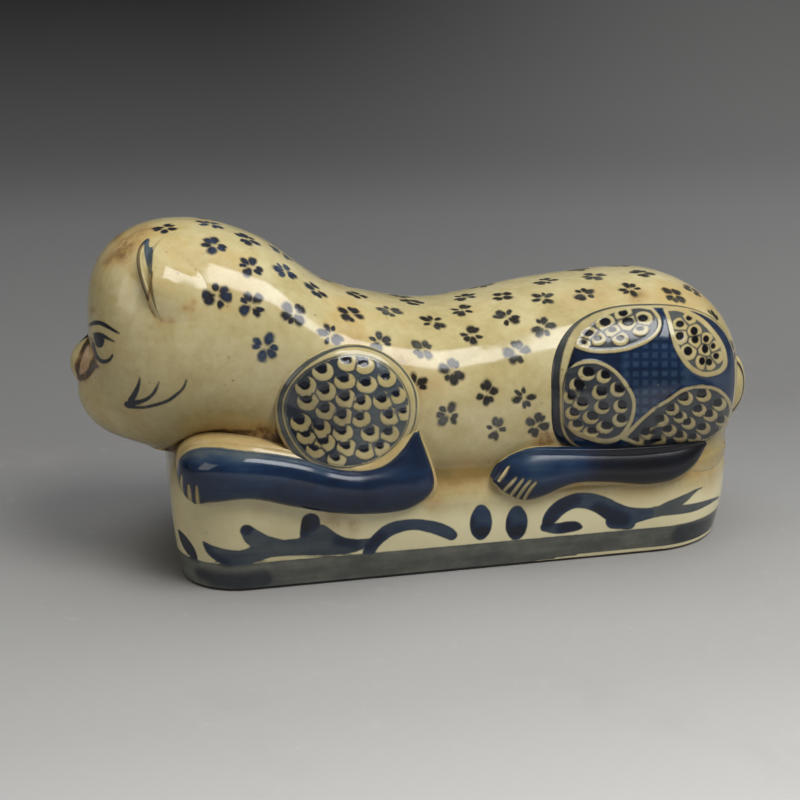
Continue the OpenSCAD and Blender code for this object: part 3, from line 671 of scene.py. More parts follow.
# Painted shade in the crease with the plinth and in the fold between the limbs
crease = CREASE_SHADE * lip * (1 - smooth(np.abs(trunk_over - CREASE_AT), *CREASE_FADE))
crease += FOLD_SHADE * trunk_gap * (1 - smooth(np.abs(trunk_over - FOLD_AT), *FOLD_FADE))
paint(
    trunk,
    ink=brush(trunk_places, TRUNK_STROKES) * PX_MM,
    tone=TRUNK_TONE,
    blue=TRUNK_BLUE,
    stain=np.clip(smudges(trunk_places, TRUNK_STAINS_AND_SHADE) + lines + TRUNK_SEAM * seam, 0, 1),
    dirt=np.maximum(crease, low_shade(trunk.points)),
)

# Brush strokes of the plinth: a cloud scroll, two ovals and a leafy scroll over a band
# Each group of strokes: tone, share of blue, and the strokes
PLINTH_STROKES = (
    (0.36, 0.45, [
        [(204, 543, 2.0), (212, 551, 6.5), (225, 557, 9), (240, 558.5, 9), (257, 554, 8.5),
         (270, 550.5, 8), (285, 548, 9), (300, 547, 9.5), (316, 547, 9.5), (338, 547.5, 8.5),
         (356, 545.5, 7), (370, 541, 3)],
        [(246.5, 530.5, 6.5), (254, 538, 9), (266, 543.5, 8.5), (282, 546, 7)],
        [(310.5, 522, 9.5), (311, 535.5, 11), (316, 546.4, 9.5)],
        [(321.4, 530, 6), (339.5, 540.5, 5), (357.7, 543, 4)],
    ]),
    (0.46, 0.75, [
        [(368.6, 551.8, 6), (376, 541, 7), (390.5, 529.5, 7.2), (412, 524.6, 6), (434, 527.5, 6.6),
         (447, 532.5, 6.6), (452, 535.5, 5.5)],
    ]),
    (0.5, 1.0, [
        [(481, 511, 7), (481, 517, 10.5), (481, 523, 11.5), (481, 529, 10.5), (481, 534, 7)],
        [(516.6, 512.5, 7.5), (516.6, 518, 10.5), (516.6, 524, 11.6), (516.6, 530, 10),
         (516.6, 534.5, 6.5)],
    ]),
    (0.44, 0.7, [
        [(545, 526, 4), (551, 517, 8), (560.4, 507.5, 8.4), (574, 501, 8), (588, 501, 8.5),
         (602, 505.5, 9.5), (614, 512.5, 10.5), (626, 516.5, 10.5), (640, 515, 7.5), (655, 512.5, 5.5)],
        [(545, 527, 5), (556.5, 528.5, 6), (568, 527, 6.5), (576, 526.5, 5), (581, 527.5, 1.8)],
        [(615, 520, 10), (630, 524, 6)],
    ]),
    (0.27, 0.35, [
        [(650, 513.5, 5.5), (660, 511, 6), (669, 507, 6.3), (684, 499, 4.6), (696, 490.5, 1.6),
         (702.7, 487.3, 0.6)],
        [(655, 511.5, 5.5), (676, 510, 5), (692, 508, 4.5), (707, 503, 3.2), (719, 497, 1.2)],
    ]),
)
PLINTH_DARK = laid([
    [(179, 532, 4), (184, 541, 9), (189.5, 549, 9), (195, 556.5, 4)],
    [(479, 531, 6), (484, 531, 6)],
    [(513, 532, 6), (520, 531, 6)],
    [(472, 520, 2), (473, 528, 2)],
    [(507, 520, 2), (508, 529, 2)],
    [(206, 546, 2), (214, 556, 3), (226, 563, 3)],
    [(302, 522, 5), (304, 532, 4)],
    [(598, 508, 5), (612, 516, 7), (624, 520, 6)],
    [(563, 527, 5.5), (570, 526.5, 6.5), (577, 527, 4), (581, 528, 1.6)],
    [(200, 574, 5), (220, 580, 8), (240, 582, 8.5), (262, 579, 9)],
    [(547, 523, 5), (552, 515, 6), (562, 505, 6), (575, 499, 5.5)],
    [(370, 545, 4), (380, 537, 5)],
    [(680, 534, 9), (700, 530, 10), (712, 522, 8)],
    [(338, 541, 4), (356, 544, 4)],
], plinth_tree)
PLINTH_LEAF = laid([[(179, 532, 3.0), (184, 541, 8.0), (189.5, 549, 8.0), (195, 556.5, 3.6)]], plinth_tree)
PLINTH_LOBES = laid([[(246.8, 528.7, 6.0)], [(310, 520.5, 9.0), (310.5, 524, 8.6)]], plinth_tree)
# Stains, with soft spots of painted shade on the lip near the elbow and between the limbs
PLINTH_STAINS_AND_SHADE = [
    (330, 518, 18, 0.35), (260, 508, 14, 0.25), (470, 490, 30, 0.1), (230, 450, 24, 0.4),
    (290, 455, 20, 0.8), (434, 502, 13, 0.45), (640, 497, 30, 0.22), (704, 478, 20, 0.42),
    (560, 500, 16, 0.2), (350, 526, 13, 0.42),
]
# Band, pale rim and dark foot line by their heights, and the tones and shares of blue. The dark foot line,
# and the dark bare rim below the pale one, are partly painted contact shadow
BAND_H, RIM_THIN, RIM_WIDE, RIM_GROWS, FOOT_LINE = 12.6, 0.9, 2.9, (20, 60), 1.2
BAND_TONE, BAND_BLUE, LEAF_TONE, LEAF_BLUE, FOOT_TONE = 0.15, 0.12, 0.5, 0.6, 0.95
DARK_TONE, DARK_BLUE, DARK_BLEED = 0.38, 0.3, (-2.2, 1.6)
LOBE_TONE, LOBE_BLUE, LOBE_BLEED = 0.36, 0.3, (-0.6, 0.4)
# Painted shade along the top of the wall under the belly, less of it on the lip between the limbs, and
# painted light lower down the wall
PLINTH_SHADE, PLINTH_SHADE_FADE, PLINTH_PAINTED_LIGHT, PLINTH_PAINTED_LIGHT_FROM = 0.52, (1, 13), 0.7, (6, 18)
DECK_STAIN, DECK_STAIN_FALL, RIM_STAIN_AND_SHADOW, RIM_DARK_H, RIM_DARK_FADE = 0.35, 3.0, 0.95, 1.4, 0.5
plinth_near, plinth_z = near_side(plinth.points), plinth.points[:, 2]
strokes = brush(plinth_near, PLINTH_LEAF)
stroke_tone, stroke_blue = np.full(len(plinth_z), LEAF_TONE), np.full(len(plinth_z), LEAF_BLUE)
for tone, blue, pixels in PLINTH_STROKES:
    field = brush(plinth_near, laid(pixels, plinth_tree))
    stroke_tone = np.where(field > strokes, tone, stroke_tone)
    stroke_blue = np.where(field > strokes, blue, stroke_blue)
    strokes = np.maximum(strokes, field)
dark = bled(plinth_near, PLINTH_DARK, *DARK_BLEED)
lobes = bled(plinth_near, PLINTH_LOBES, *LOBE_BLEED)
rim_h = RIM_THIN + (RIM_WIDE - RIM_THIN) * smooth(plinth.points[:, 0], *RIM_GROWS)
band = BAND_H - plinth_z
on_stroke = strokes > band
over_rim = np.where(plinth_z < rim_h, plinth_z - rim_h, np.maximum(strokes, band))
brushed = np.where(on_stroke, stroke_tone, BAND_TONE) + DARK_TONE * dark + LOBE_TONE * lobes
from_deck = np.maximum(-over_deck(plinth.points), 0)
# The dark bare rim is partly painted contact shadow
rim_stain = RIM_STAIN_AND_SHADOW * smooth(RIM_DARK_H - plinth_z, 0, RIM_DARK_FADE)
deck_stain = DECK_STAIN * np.exp(-from_deck / DECK_STAIN_FALL)
lip = 1 - LIP_LESS_SHADE * limb_gap(plinth.points)
paint(
    plinth,
    ink=np.maximum(over_rim, FOOT_LINE - plinth_z),
    tone=np.where(plinth_z < FOOT_LINE, FOOT_TONE, brushed),
    blue=np.where(on_stroke, stroke_blue + DARK_BLUE * dark, BAND_BLUE) + LOBE_BLUE * lobes,
    stain=np.clip(deck_stain + rim_stain + smudges(to_photo(plinth_near), PLINTH_STAINS_AND_SHADE), 0, 1),
    # Painted shade along the top of the wall
    dirt=PLINTH_SHADE * lip * (1 - smooth(from_deck, *PLINTH_SHADE_FADE)),
    # Painted light: the wall lighter lower down, away from the belly
    pale=PLINTH_PAINTED_LIGHT * smooth(from_deck, *PLINTH_PAINTED_LIGHT_FROM),
)

# Raised panels on the side: a square grid drawn to an oval, lifted off the wall
PAD_SOFT, PAD_BED, SKIRT_SINK, BACK_DEPTH, SLOPE_STEP = 0.6, 0.15, 1.6, 3.0, 0.2


def disc_map(across, up):
    a, b = np.meshgrid(np.linspace(-1, 1, across), np.linspace(-1, 1, up))
    return a * np.sqrt(1 - b * b / 2), b * np.sqrt(1 - a * a / 2)


def oval_grid(across, up, centre, size, powers):
    u, v = disc_map(across, up)
    s, turn = np.hypot(u, v), np.arctan2(v, u)
    power = np.where(v < 0, powers[0], powers[1])
    x = centre[0] + s * size[0] / 2 * signed_pow(np.cos(turn), 2 / power)
    z = centre[1] + s * size[1] / 2 * signed_pow(np.sin(turn), 2 / power)
    return s, x, z


def on_side(side, x, z):
    """Points of the left wall and the directions out of it."""
    e = SLOPE_STEP
    bx = (side(x + e, z) - side(x - e, z)) / (2 * e)
    bz = (side(x, z + e) - side(x, z - e)) / (2 * e)
    n = np.stack([-bx, -np.ones_like(bx), -bz], -1)
    return np.stack([x, -side(x, z), z], -1), n / np.linalg.norm(n, axis=-1, keepdims=True)


def raised(s, base, normals, height, power):
    """A pad with a rounded edge: its heights over the wall, and the places of the photograph
    that show it, as pairs and as two grids."""
    lift = height * np.maximum(1 - s**power, 0) ** PAD_SOFT - PAD_BED
    places = to_photo((base + normals * lift[..., None]).reshape(-1, 3))
    return lift, places, *places.T.reshape(2, *s.shape)


def rim_of(rows, cols):
    grid = np.arange(rows * cols).reshape(rows, cols)
    return np.concatenate([grid[0, :-1], grid[:-1, -1], grid[-1, :0:-1], grid[:0:-1, 0]])


def lifted(name, face, base, normals, back=None):
    """A closed pad: its face stands off the wall, its skirt runs into the wall or to a surface behind."""
    rows, cols = face.shape[:2]
    rim = rim_of(rows, cols)
    behind = base if back is None else back
    skirt = (behind - normals * SKIRT_SINK).reshape(-1, 3)[rim]
    count = rows * cols
    centre = (behind - normals * BACK_DEPTH).reshape(-1, 3)[count // 2 + cols // 2]
    points = np.vstack([face.reshape(-1, 3), skirt, [centre]])
    low = count + np.arange(len(rim))
    walls = np.stack([rim, np.roll(rim, -1), np.roll(low, -1), low], -1)
    closing = [walls[:, ::-1], fan(low[::-1], count + len(rim))]
    return Piece(name, points, [grid_quads(rows, cols, False)], closing)


# Fish scales: gap between them, reach of one, width of the dot's rim, and the soft edges of their relief
SCALE_GAP, SCALE_REACH, MOUTH_EDGE, SCALE_OVER = 1.0, 20.0, 1.6, 0.05
PALE_EDGE, DOT_EDGE = (-0.8, 0.6), -0.6


def scales(places, shape, dots, edge, shift, hollow):
    """Fish scales: how far places lie inside the dark dots, and inside the pale scales round them.
    A scale is shifted off its dot, and a hollow drawn back from the dot makes a crescent of it."""
    dot = np.full(len(places), -FAR)
    best, second = dot.copy(), dot.copy()
    lean = np.array(shift) / np.hypot(*shift)
    for cx, cy, a, b in dots:
        out = places - [cx, cy]
        near = np.flatnonzero((np.abs(out) < SCALE_REACH).all(1))
        out = out[near]
        dot[near] = np.maximum(dot[near], (1 - np.hypot(*(out / [a, b]).T)) * b)
        size = np.array([a, b]) + edge
        pale = (1 - np.hypot(*((out - shift) / size).T)) * size[1]
        if hollow:
            mouth = np.array([a, b]) + MOUTH_EDGE
            pale = np.minimum(pale, (np.hypot(*((out + lean * hollow) / mouth).T) - 1) * mouth[1])
        second[near] = np.maximum(second[near], np.minimum(best[near], pale))
        best[near] = np.maximum(best[near], pale)
    pale = np.minimum(best, (best - second) / 2 - SCALE_GAP)
    return dot.reshape(shape) * PX_MM, pale.reshape(shape) * PX_MM


def scale_relief(dot, pale, up, down, reach):
    return up * smooth(pale, *PALE_EDGE) - down * smooth(dot, DOT_EDGE, reach)


# Shoulder disc: dots of the scales by place and half size
SHOULDER_AT, SHOULDER_SIZE, SHOULDER_LIFT, SHOULDER_POWER = (SHOULDER_X, 73.2), (58.5, 52.5), 3.4, 4
SHOULDER_GRID, SHOULDER_SCALES, SHOULDER_RELIEF = (200, 184), (5.0, (0.8, 1.6), 3.6), (0.16, 0.12, 0.8)
SHOULDER_DOTS = [
    (347, 361, 5, 3.5), (364, 364, 4.8, 3.4), (322, 370, 5.5, 4), (386, 377, 4.2, 3.4),
    (344, 379.5, 5.4, 3.2), (366, 383, 5.2, 3.6), (305, 385, 5.5, 5), (325, 390, 5, 4.4),
    (396, 394, 4, 3.2), (345, 397, 5, 4.4), (382, 399, 4.8, 4), (307, 399.5, 5.5, 4.2),
    (361, 401, 4.6, 4), (325, 409, 5, 4.2), (403, 411, 4, 2.8), (342, 415, 4.8, 4.2), (389, 415, 4.4, 4),
    (360, 417, 4.4, 3.5), (300, 421, 5, 4), (320, 427, 4.8, 4), (342, 431, 4.8, 4), (370, 432, 5, 3.8),
    (388, 432, 5, 3.6), (306, 434, 4.8, 3.6), (324, 441, 5, 3.6), (346, 446, 4.6, 3.6),
    (364, 449, 5.4, 3.6), (315, 448, 4.4, 3.2), (336, 458, 4.2, 3.2), (380, 446, 4, 3.2),
]
# Two painted rings by their share of the radius and half width, which change to the left and lower right
LEFT_TURN, LOWER_RIGHT_TURN, LEAST_S = (-0.2, 0.9), (0.5, 1.1), 0.1
OUTER_AT, OUTER_LEFT, OUTER_LOWER, OUTER_HALF, OUTER_FAT, OUTER_SLIM = 0.955, 0.02, 0.03, 0.5, 0.5, 0.15
INNER_AT, INNER_LEFT, INNER_OUT, INNER_HALF, INNER_FAT = 0.81, 0.03, 0.02, 0.3, 0.4
RIDGE_AT, RIDGE_HALF, RIDGE_H, RIDGE_FADE, FIELD_FADE, EDGE_FADE = 0.9, 0.06, 0.2, 0.05, 0.8, 0.08
# Tones of the dots, the ground and the rings, and the bleeding, darkening towards the lower left and stain of
# the disc
DOT_TONE, DOT_FADE, GROUND_TONE, PALE_LESS, LOW_LEFT_MORE = 0.86, (-0.5, 0.3), 0.46, 0.16, 0.26
RING_TONE, RING_LEFT_MORE, FIELD_BLUE, PALE_BLUE_MORE, RING_BLUE = 0.16, 0.14, 0.22, 0.2, 0.05
PALE_SIDE_X, LOW_Z, BLEED, BLEED_LEFT = (320, 390), (85, 60), 0.36, 0.16
DISC_DARKER, DISC_DARKER_LEFT, DISC_DARKER_Z = 0.12, 0.5, (92, 60)
DISC_STAIN, DISC_STAIN_RIM, DISC_STAIN_Y, DISC_STAIN_X = 0.8, (0.86, 1.0), (415, 455), (350, 300)
s, x, z = oval_grid(*SHOULDER_GRID, SHOULDER_AT, SHOULDER_SIZE, (2, 2))
base, normals = on_side(disc_side, x, z)
lift, places, photo_x, photo_y = raised(s, base, normals, SHOULDER_LIFT, SHOULDER_POWER)
dot, pale = scales(places, s.shape, SHOULDER_DOTS, *SHOULDER_SCALES)
turn_x, turn_z = (2 * (v - at) / size for v, at, size in zip((x, z), SHOULDER_AT, SHOULDER_SIZE))
leftness = smooth(-turn_x / np.maximum(s, LEAST_S), *LEFT_TURN)
lower_right = smooth((turn_x - turn_z) / np.maximum(s, LEAST_S), *LOWER_RIGHT_TURN)
mean_r = sum(SHOULDER_SIZE) / 4
outer_at = OUTER_AT - OUTER_LEFT * leftness - OUTER_LOWER * lower_right
outer_half = OUTER_HALF + OUTER_FAT * leftness - OUTER_SLIM * lower_right
outer_line = outer_half - np.abs(s - outer_at) * mean_r
inner_edge = INNER_AT + INNER_LEFT * leftness
inner_line = INNER_HALF + INNER_FAT * leftness - np.abs(s - inner_edge - INNER_OUT) * mean_r
pale_side = smooth(photo_x, *PALE_SIDE_X)
in_field = (inner_edge - s) * mean_r
relief = smooth(in_field, 0, FIELD_FADE) * scale_relief(dot, pale, *SHOULDER_RELIEF)
relief += RIDGE_H * smooth(RIDGE_HALF - np.abs(s - RIDGE_AT), 0, RIDGE_FADE)
neck_wall = np.stack([x, np.minimum(1 - body_side(x, z), 0), z], -1)
face = base + normals * (lift + relief * smooth(1 - s, 0, EDGE_FADE))[..., None]
left_shoulder = lifted("left_shoulder_disc", face, base, normals, neck_wall)
shoulder_ink = np.where(in_field > 0, np.maximum(dot, -pale - SCALE_OVER), np.maximum(outer_line, inner_line))
ground = GROUND_TONE - PALE_LESS * pale_side + LOW_LEFT_MORE * leftness * smooth(z, *LOW_Z)
field_tone = ground + (DOT_TONE - ground) * smooth(dot, *DOT_FADE)
low_left = smooth(photo_y, *DISC_STAIN_Y) * smooth(photo_x, *DISC_STAIN_X)
paint(
    left_shoulder,
    ink=np.maximum(shoulder_ink, -BLEED + BLEED_LEFT * leftness),
    tone=np.where(in_field > 0, field_tone, RING_TONE + RING_LEFT_MORE * leftness),
    blue=np.where(in_field > 0, FIELD_BLUE + PALE_BLUE_MORE * pale_side, RING_BLUE),
    dirt=DISC_DARKER + DISC_DARKER_LEFT * leftness * smooth(z, *DISC_DARKER_Z),
    stain=DISC_STAIN * smooth(s, *DISC_STAIN_RIM) * low_left,
)

# Haunch: four cells of scales round a chequered middle, by their outlines in the photograph
UPPER_LEFT = [
    (652, 308), (659, 317), (660.5, 325), (657, 333.5), (649, 340.5), (639, 345.5), (625, 350),
    (610, 352), (595, 352), (581, 349), (572, 343), (572, 331), (580, 320), (592, 311), (607, 307),
    (630, 305),
]
UPPER_RIGHT = [
    (664, 309), (668, 320), (671.5, 333), (675, 345), (680, 355), (686, 364), (694, 371), (704, 375),
    (714, 374), (722, 370), (725.5, 362), (723, 348), (715, 334), (703, 321), (688, 312), (676, 308),
]
LOWER_LEFT = [
    (567, 369), (578, 363), (592, 361), (604, 364), (614, 370), (622, 378), (629, 388), (634, 399),
    (634, 412), (630, 424), (621, 437), (606, 442), (588, 438), (571, 431), (563, 420), (563, 390),
]
LOWER_RIGHT = [
    (622, 438), (632, 428), (640, 420), (648, 413), (657, 406), (668, 399.5), (680, 391), (691, 387),
    (705, 386), (716, 388.5), (725, 395), (731, 406), (730, 422), (723, 440), (712, 453), (703, 458),
    (697, 448), (684, 446), (668, 449), (645, 447.5),
]
UPPER_LEFT_DOTS = [
    (605, 322, 6, 4.4), (628, 321.5, 6.4, 4.4), (623, 313, 5, 3.6), (643, 318, 5.6, 3.6),
    (612, 329.5, 4.6, 3), (640, 328.5, 4.4, 2.6), (588, 333, 6, 3.6), (597, 338, 4.5, 3),
    (620, 338, 4.5, 3), (583, 342, 4, 2.6),
]
UPPER_RIGHT_DOTS = [
    (680, 324, 4.4, 3.6), (694, 331, 3.8, 4.4), (680, 336, 4.6, 4.4), (695, 339.5, 3.8, 4.2),
    (706, 339, 3.2, 3.8), (688, 351, 4.4, 4.8), (705, 349, 3.4, 4.6), (716, 356, 3.2, 3.4),
    (702, 361, 3.2, 4.2), (709, 362, 3.2, 3.8), (713, 346, 2.6, 3.2), (689, 318, 3.4, 2.8),
]
LOWER_LEFT_DOTS = [
    (588, 372, 6, 4.8), (605, 375, 4.6, 4.2), (579, 384, 5.6, 5), (601, 391, 5.4, 5), (619, 388, 5.2, 5),
    (582, 402, 5.6, 4.5), (603, 406, 5.2, 4.2), (622, 405, 4.6, 4.2), (574, 412, 4.8, 4.2),
    (592, 416, 5.4, 4.2), (621, 419, 4.8, 4), (577, 424, 4.8, 3.6), (606, 426, 5.6, 3.8),
    (592, 431, 5.2, 3.2), (571, 396, 4, 4),
]
LOWER_RIGHT_DOTS = [
    (684, 397, 5, 4.4), (702, 394, 5, 4), (671, 408, 4.2, 3.6), (698, 409, 4.4, 3.6), (718, 403, 4.4, 4),
    (660, 419, 4.8, 3.8), (679, 416, 4.2, 3.2), (709, 414, 4.4, 3.6), (721, 420, 4, 3.6),
    (668, 429, 4.4, 3.6), (687, 422, 4.4, 3.6), (702, 427, 4.4, 3.6), (646, 432, 4.8, 3.8),
    (679, 435, 4.4, 3.4), (708, 437, 4, 3.4), (658, 439, 4, 3), (693, 437, 4, 3), (716, 431, 3.6, 3.2),
    (636, 440, 4, 2.6), (706, 448, 3.4, 3),
]
# Each cell: outline, dots, width, shift and hollow of its scales, tone of the ground between them
HAUNCH_CELLS = (
    (UPPER_LEFT, UPPER_LEFT_DOTS, 3.6, (0.3, 0.8), 0.0, 0.36),
    (UPPER_RIGHT, UPPER_RIGHT_DOTS, 3.4, (0.3, 0.8), 0.0, 0.26),
    (LOWER_LEFT, LOWER_LEFT_DOTS, 2.4, (-1.3, 1.3), 2.4, 0.44),
    (LOWER_RIGHT, LOWER_RIGHT_DOTS, 2.4, (1.3, 1.3), 2.4, 0.46),
)
HAUNCH_AT, HAUNCH_SIZE, HAUNCH_LIFT, HAUNCH_POWER = (83.5, 77.3), (91.0, 61.4), 3.8, 5
HAUNCH_GRID, HAUNCH_POWERS, HAUNCH_RELIEF = (290, 196), (4, 2.4), (0.14, 0.14, 0.7)
# Border and lines: widths in millimetres, and the parts of the photograph where they change
TOP_Z, TOP_FLAT, CORNER_Y, CORNER_X, RIM_SHARE = (88, 104), 0.6, (392, 360), (640, 585), 0.8
BORDER_W, BORDER_SLIM, BORDER_LINE, CORNER_FAT, TOP_FAT = 2.6, 1.2, 0.3, 0.8, 0.24
CELL_LINE, CELL_LINE_AT, CELL_FAT, CELL_LOST, CELL_LOST_X = 0.66, 0.3, 0.3, 0.9, (578, 566)
FAT_LEFT, FAT_RIGHT = ((640, 610), (370, 390)), ((664, 672), (384, 376))
LINE_H, LINE_FADE, PANEL_FADE = 0.2, (-0.9, 0.3), 1.5
# Checks of the middle: first crossing, pitch and soft edge of their lines, and where they end
CHECK_X, CHECK_Y, CHECK_LINE = (631.0, 9.6), (369.0, 9.2), (3.0, 0.8)
CHECK_FROM, CHECK_TO = (622, 630), (686, 680)
# Tones and shares of blue of the middle, the cells and the border
MIDDLE_TONE, CHECK_TONE, MIDDLE_BLUE, INKED = 0.46, 0.22, 0.95, 2.0
MIDDLE_DARKER = ((0.24, (626, 618)), (0.16, (680, 700)), (0.3, (580, 568)))
CELL_BLUE, CELL_DOT_TONE, CELL_DOT_FADE, END_DARKER, END_X = 0.15, 0.95, (-0.35, 0.25), 0.4, (596, 580)
BORDER_TONE, BORDER_LOW_MORE, BORDER_LOW_Y, BORDER_TOP_LESS = 0.4, 0.34, (350, 430), 0.14
BORDER_BLUE, BORDER_BLUE_MORE, BORDER_BLUE_Y = 0.05, 0.3, (420, 440)
PANEL_BLEED, PANEL_BLEED_MORE, PANEL_BLEED_Y = 0.26, 0.08, (340, 400)
# The panel is darker overall, and more so towards the bottom
PANEL_DARKER, PANEL_DARKER_MORE, PANEL_DARKER_Y = 0.1, 0.28, (345, 420)
PANEL_STAIN, PANEL_STAIN_RIM, PANEL_STAIN_Z = 0.5, (1.2, 0), (70, 52)
s, x, z = oval_grid(*HAUNCH_GRID, HAUNCH_AT, HAUNCH_SIZE, HAUNCH_POWERS)
base, normals = on_side(wall_side, x, z)
lift, places, photo_x, photo_y = raised(s, base, normals, HAUNCH_LIFT, HAUNCH_POWER)
rim = (1 - s) * np.hypot(x - HAUNCH_AT[0], z - HAUNCH_AT[1]) / np.maximum(s, LEAST_S)
rim = np.minimum(rim, (1 - s) * HAUNCH_SIZE[0] / 2 * RIM_SHARE)
topness = smooth(z, *TOP_Z)
border_w = BORDER_W - BORDER_SLIM * topness
at_corner = smooth(photo_y, *CORNER_Y) * smooth(photo_x, *CORNER_X)
line_half = BORDER_LINE + CORNER_FAT * at_corner + TOP_FAT * topness
border_line = line_half - np.abs(rim - border_w - line_half)
to_lines = [
    np.abs(np.mod((v - first) / pitch + 0.5, 1) - 0.5) * pitch
    for v, (first, pitch) in ((photo_x, CHECK_X), (photo_y, CHECK_Y))
]
checks = smooth(np.minimum(*to_lines), *CHECK_LINE)
checks *= smooth(photo_x, *CHECK_FROM) * smooth(photo_x, *CHECK_TO)
tone = MIDDLE_TONE + CHECK_TONE * checks
for more, run in MIDDLE_DARKER:
    tone += more * smooth(photo_x, *run)
blue, haunch_ink = np.full(s.shape, MIDDLE_BLUE), np.full(s.shape, INKED)
cell, relief = np.full(s.shape, -FAR), np.zeros(s.shape)
for corners, dots, edge, shift, hollow, ground in HAUNCH_CELLS:
    inside = inside_outline(places, corners).reshape(s.shape) * PX_MM
    dot, pale = scales(places, s.shape, dots, edge, shift, hollow)
    here = inside > 0
    ground = ground + END_DARKER * smooth(photo_x, *END_X) * (hollow == 0)
    cell = np.maximum(cell, inside)
    blue = np.where(here, CELL_BLUE, blue)
    haunch_ink = np.where(here, np.maximum(dot, -pale - SCALE_OVER), haunch_ink)
    tone = np.where(here, ground + (CELL_DOT_TONE - ground) * smooth(dot, *CELL_DOT_FADE), tone)
    relief += np.where(here, scale_relief(dot, pale, *HAUNCH_RELIEF) * (1 - TOP_FLAT * topness), 0)
fat = sum(smooth(photo_x, *run_x) * smooth(photo_y, *run_y) for run_x, run_y in (FAT_LEFT, FAT_RIGHT))
cell_half = CELL_LINE + CELL_FAT * fat - CELL_LOST * smooth(photo_x, *CELL_LOST_X)
cell_line = cell_half - np.abs(cell - CELL_LINE_AT)
in_border = rim < border_w
haunch_ink = np.minimum(np.where(in_border, INKED, np.minimum(haunch_ink, -cell_line)), -border_line)
border_tone = BORDER_TONE + BORDER_LOW_MORE * smooth(photo_y, *BORDER_LOW_Y) - BORDER_TOP_LESS * topness
border_blue = BORDER_BLUE + BORDER_BLUE_MORE * smooth(photo_y, *BORDER_BLUE_Y)
relief += LINE_H * smooth(np.maximum(cell_line, border_line), *LINE_FADE)
face = base + normals * (lift + relief * smooth(rim, 0, PANEL_FADE))[..., None]
left_haunch = lifted("left_haunch_panel", face, base, normals)
paint(
    left_haunch,
    ink=np.maximum(haunch_ink, -PANEL_BLEED + PANEL_BLEED_MORE * smooth(photo_y, *PANEL_BLEED_Y)),
    tone=np.where(in_border, border_tone, tone),
    blue=np.where(in_border, border_blue, blue),
    dirt=PANEL_DARKER + PANEL_DARKER_MORE * smooth(photo_y, *PANEL_DARKER_Y),
    stain=PANEL_STAIN * smooth(rim, *PANEL_STAIN_RIM) * smooth(z, *PANEL_STAIN_Z),
)


# Limbs: lofts between an upper and a lower contour, standing off the wall
LIMB_STEPS, LIMB_SECTIONS, LIMB_SKIRTS, LIMB_POWER, LIMB_TURN = 26, 60, 8, 2.2, 82.0
LIMB_SINK, LIMB_SKIRT, LEAST_HALF, MOST_SKIRT, BACK_INSIDE = 1.8, 2.2, 0.5, 0.5, -3.0
LEDGE_RISES, LEDGE_ENDS = (-0.2, 0.9), (1.6, 1.0)


def limb(name, upper, lower, lifts, tops, crest):
    """A limb, with how far its points lie inside its contours and how high between them.
    The tops say how far the upper edge stands off the wall at each section."""
    top, low = curve_through(upper, LIMB_STEPS), curve_through(lower, LIMB_STEPS)
    lift, ledge = curve_through(list(zip(lifts, tops)), LIMB_STEPS).T[..., None]
    a = np.radians(np.linspace(LIMB_TURN, -LIMB_TURN, LIMB_SECTIONS))
    rise, out = signed_pow(np.sin(a), 2 / LIMB_POWER), np.cos(a) ** (2 / LIMB_POWER)
    middle, half = (top + low) / 2, (top - low) / 2
    width = np.linalg.norm(half, axis=1, keepdims=True)
    foot, brow = (
        1 + np.minimum(run / np.maximum(width, LEAST_HALF), MOST_SKIRT) for run in (LIMB_SKIRT, crest)
    )
    columns = [(np.full_like(width, r), o) for r, o in zip(rise, out)]
    for t in np.linspace(0, 1, LIMB_SKIRTS)[1:]:
        columns.insert(0, (rise[0] + (brow - rise[0]) * t, out[0] * (1 - t) ** 2))
        columns.append((-rise[0] - (foot - rise[0]) * t, out[0] * (1 - t) ** 2))
    rises = np.hstack([c[0] for c in columns])
    outs = np.array([c[1] for c in columns]) * lift
    on_ledge = smooth(rises, *LEDGE_RISES) * smooth(rises, *LEDGE_ENDS)
    outs = np.maximum(outs, outs + (ledge - outs) * on_ledge)
    xz = middle[:, None, :] + half[:, None, :] * rises[..., None]
    x, z = xz[..., 0], xz[..., 1]
    face = np.stack([x, -(limb_side(x, z) + outs), z], -1)
    back = np.stack([x, -(body_side(x, z) - LIMB_SINK), z], -1)[:, [-1, 0]]
    back[..., 1] = np.maximum(back[..., 1], face[:, [-1, 0], 1] + LIMB_SINK)
    ring = np.concatenate([face, back], 1)
    rows, cols = ring.shape[:2]
    points = np.vstack([ring.reshape(-1, 3), [ring[0].mean(0)], [ring[-1].mean(0)]])
    ends = [
        fan(np.arange(cols)[::-1], rows * cols),
        fan(np.arange(cols) + (rows - 1) * cols, rows * cols + 1),
    ]
    piece = Piece(name, points, [grid_quads(rows, cols, True)], ends)
    inside = np.hstack([(1 - np.abs(rises)) * width, np.full((rows, 2), BACK_INSIDE)])
    height = np.hstack([rises, np.full((rows, 2), -1.0)])
    return piece, *(np.concatenate([field.ravel(), [0, 0]]) for field in (inside, height))


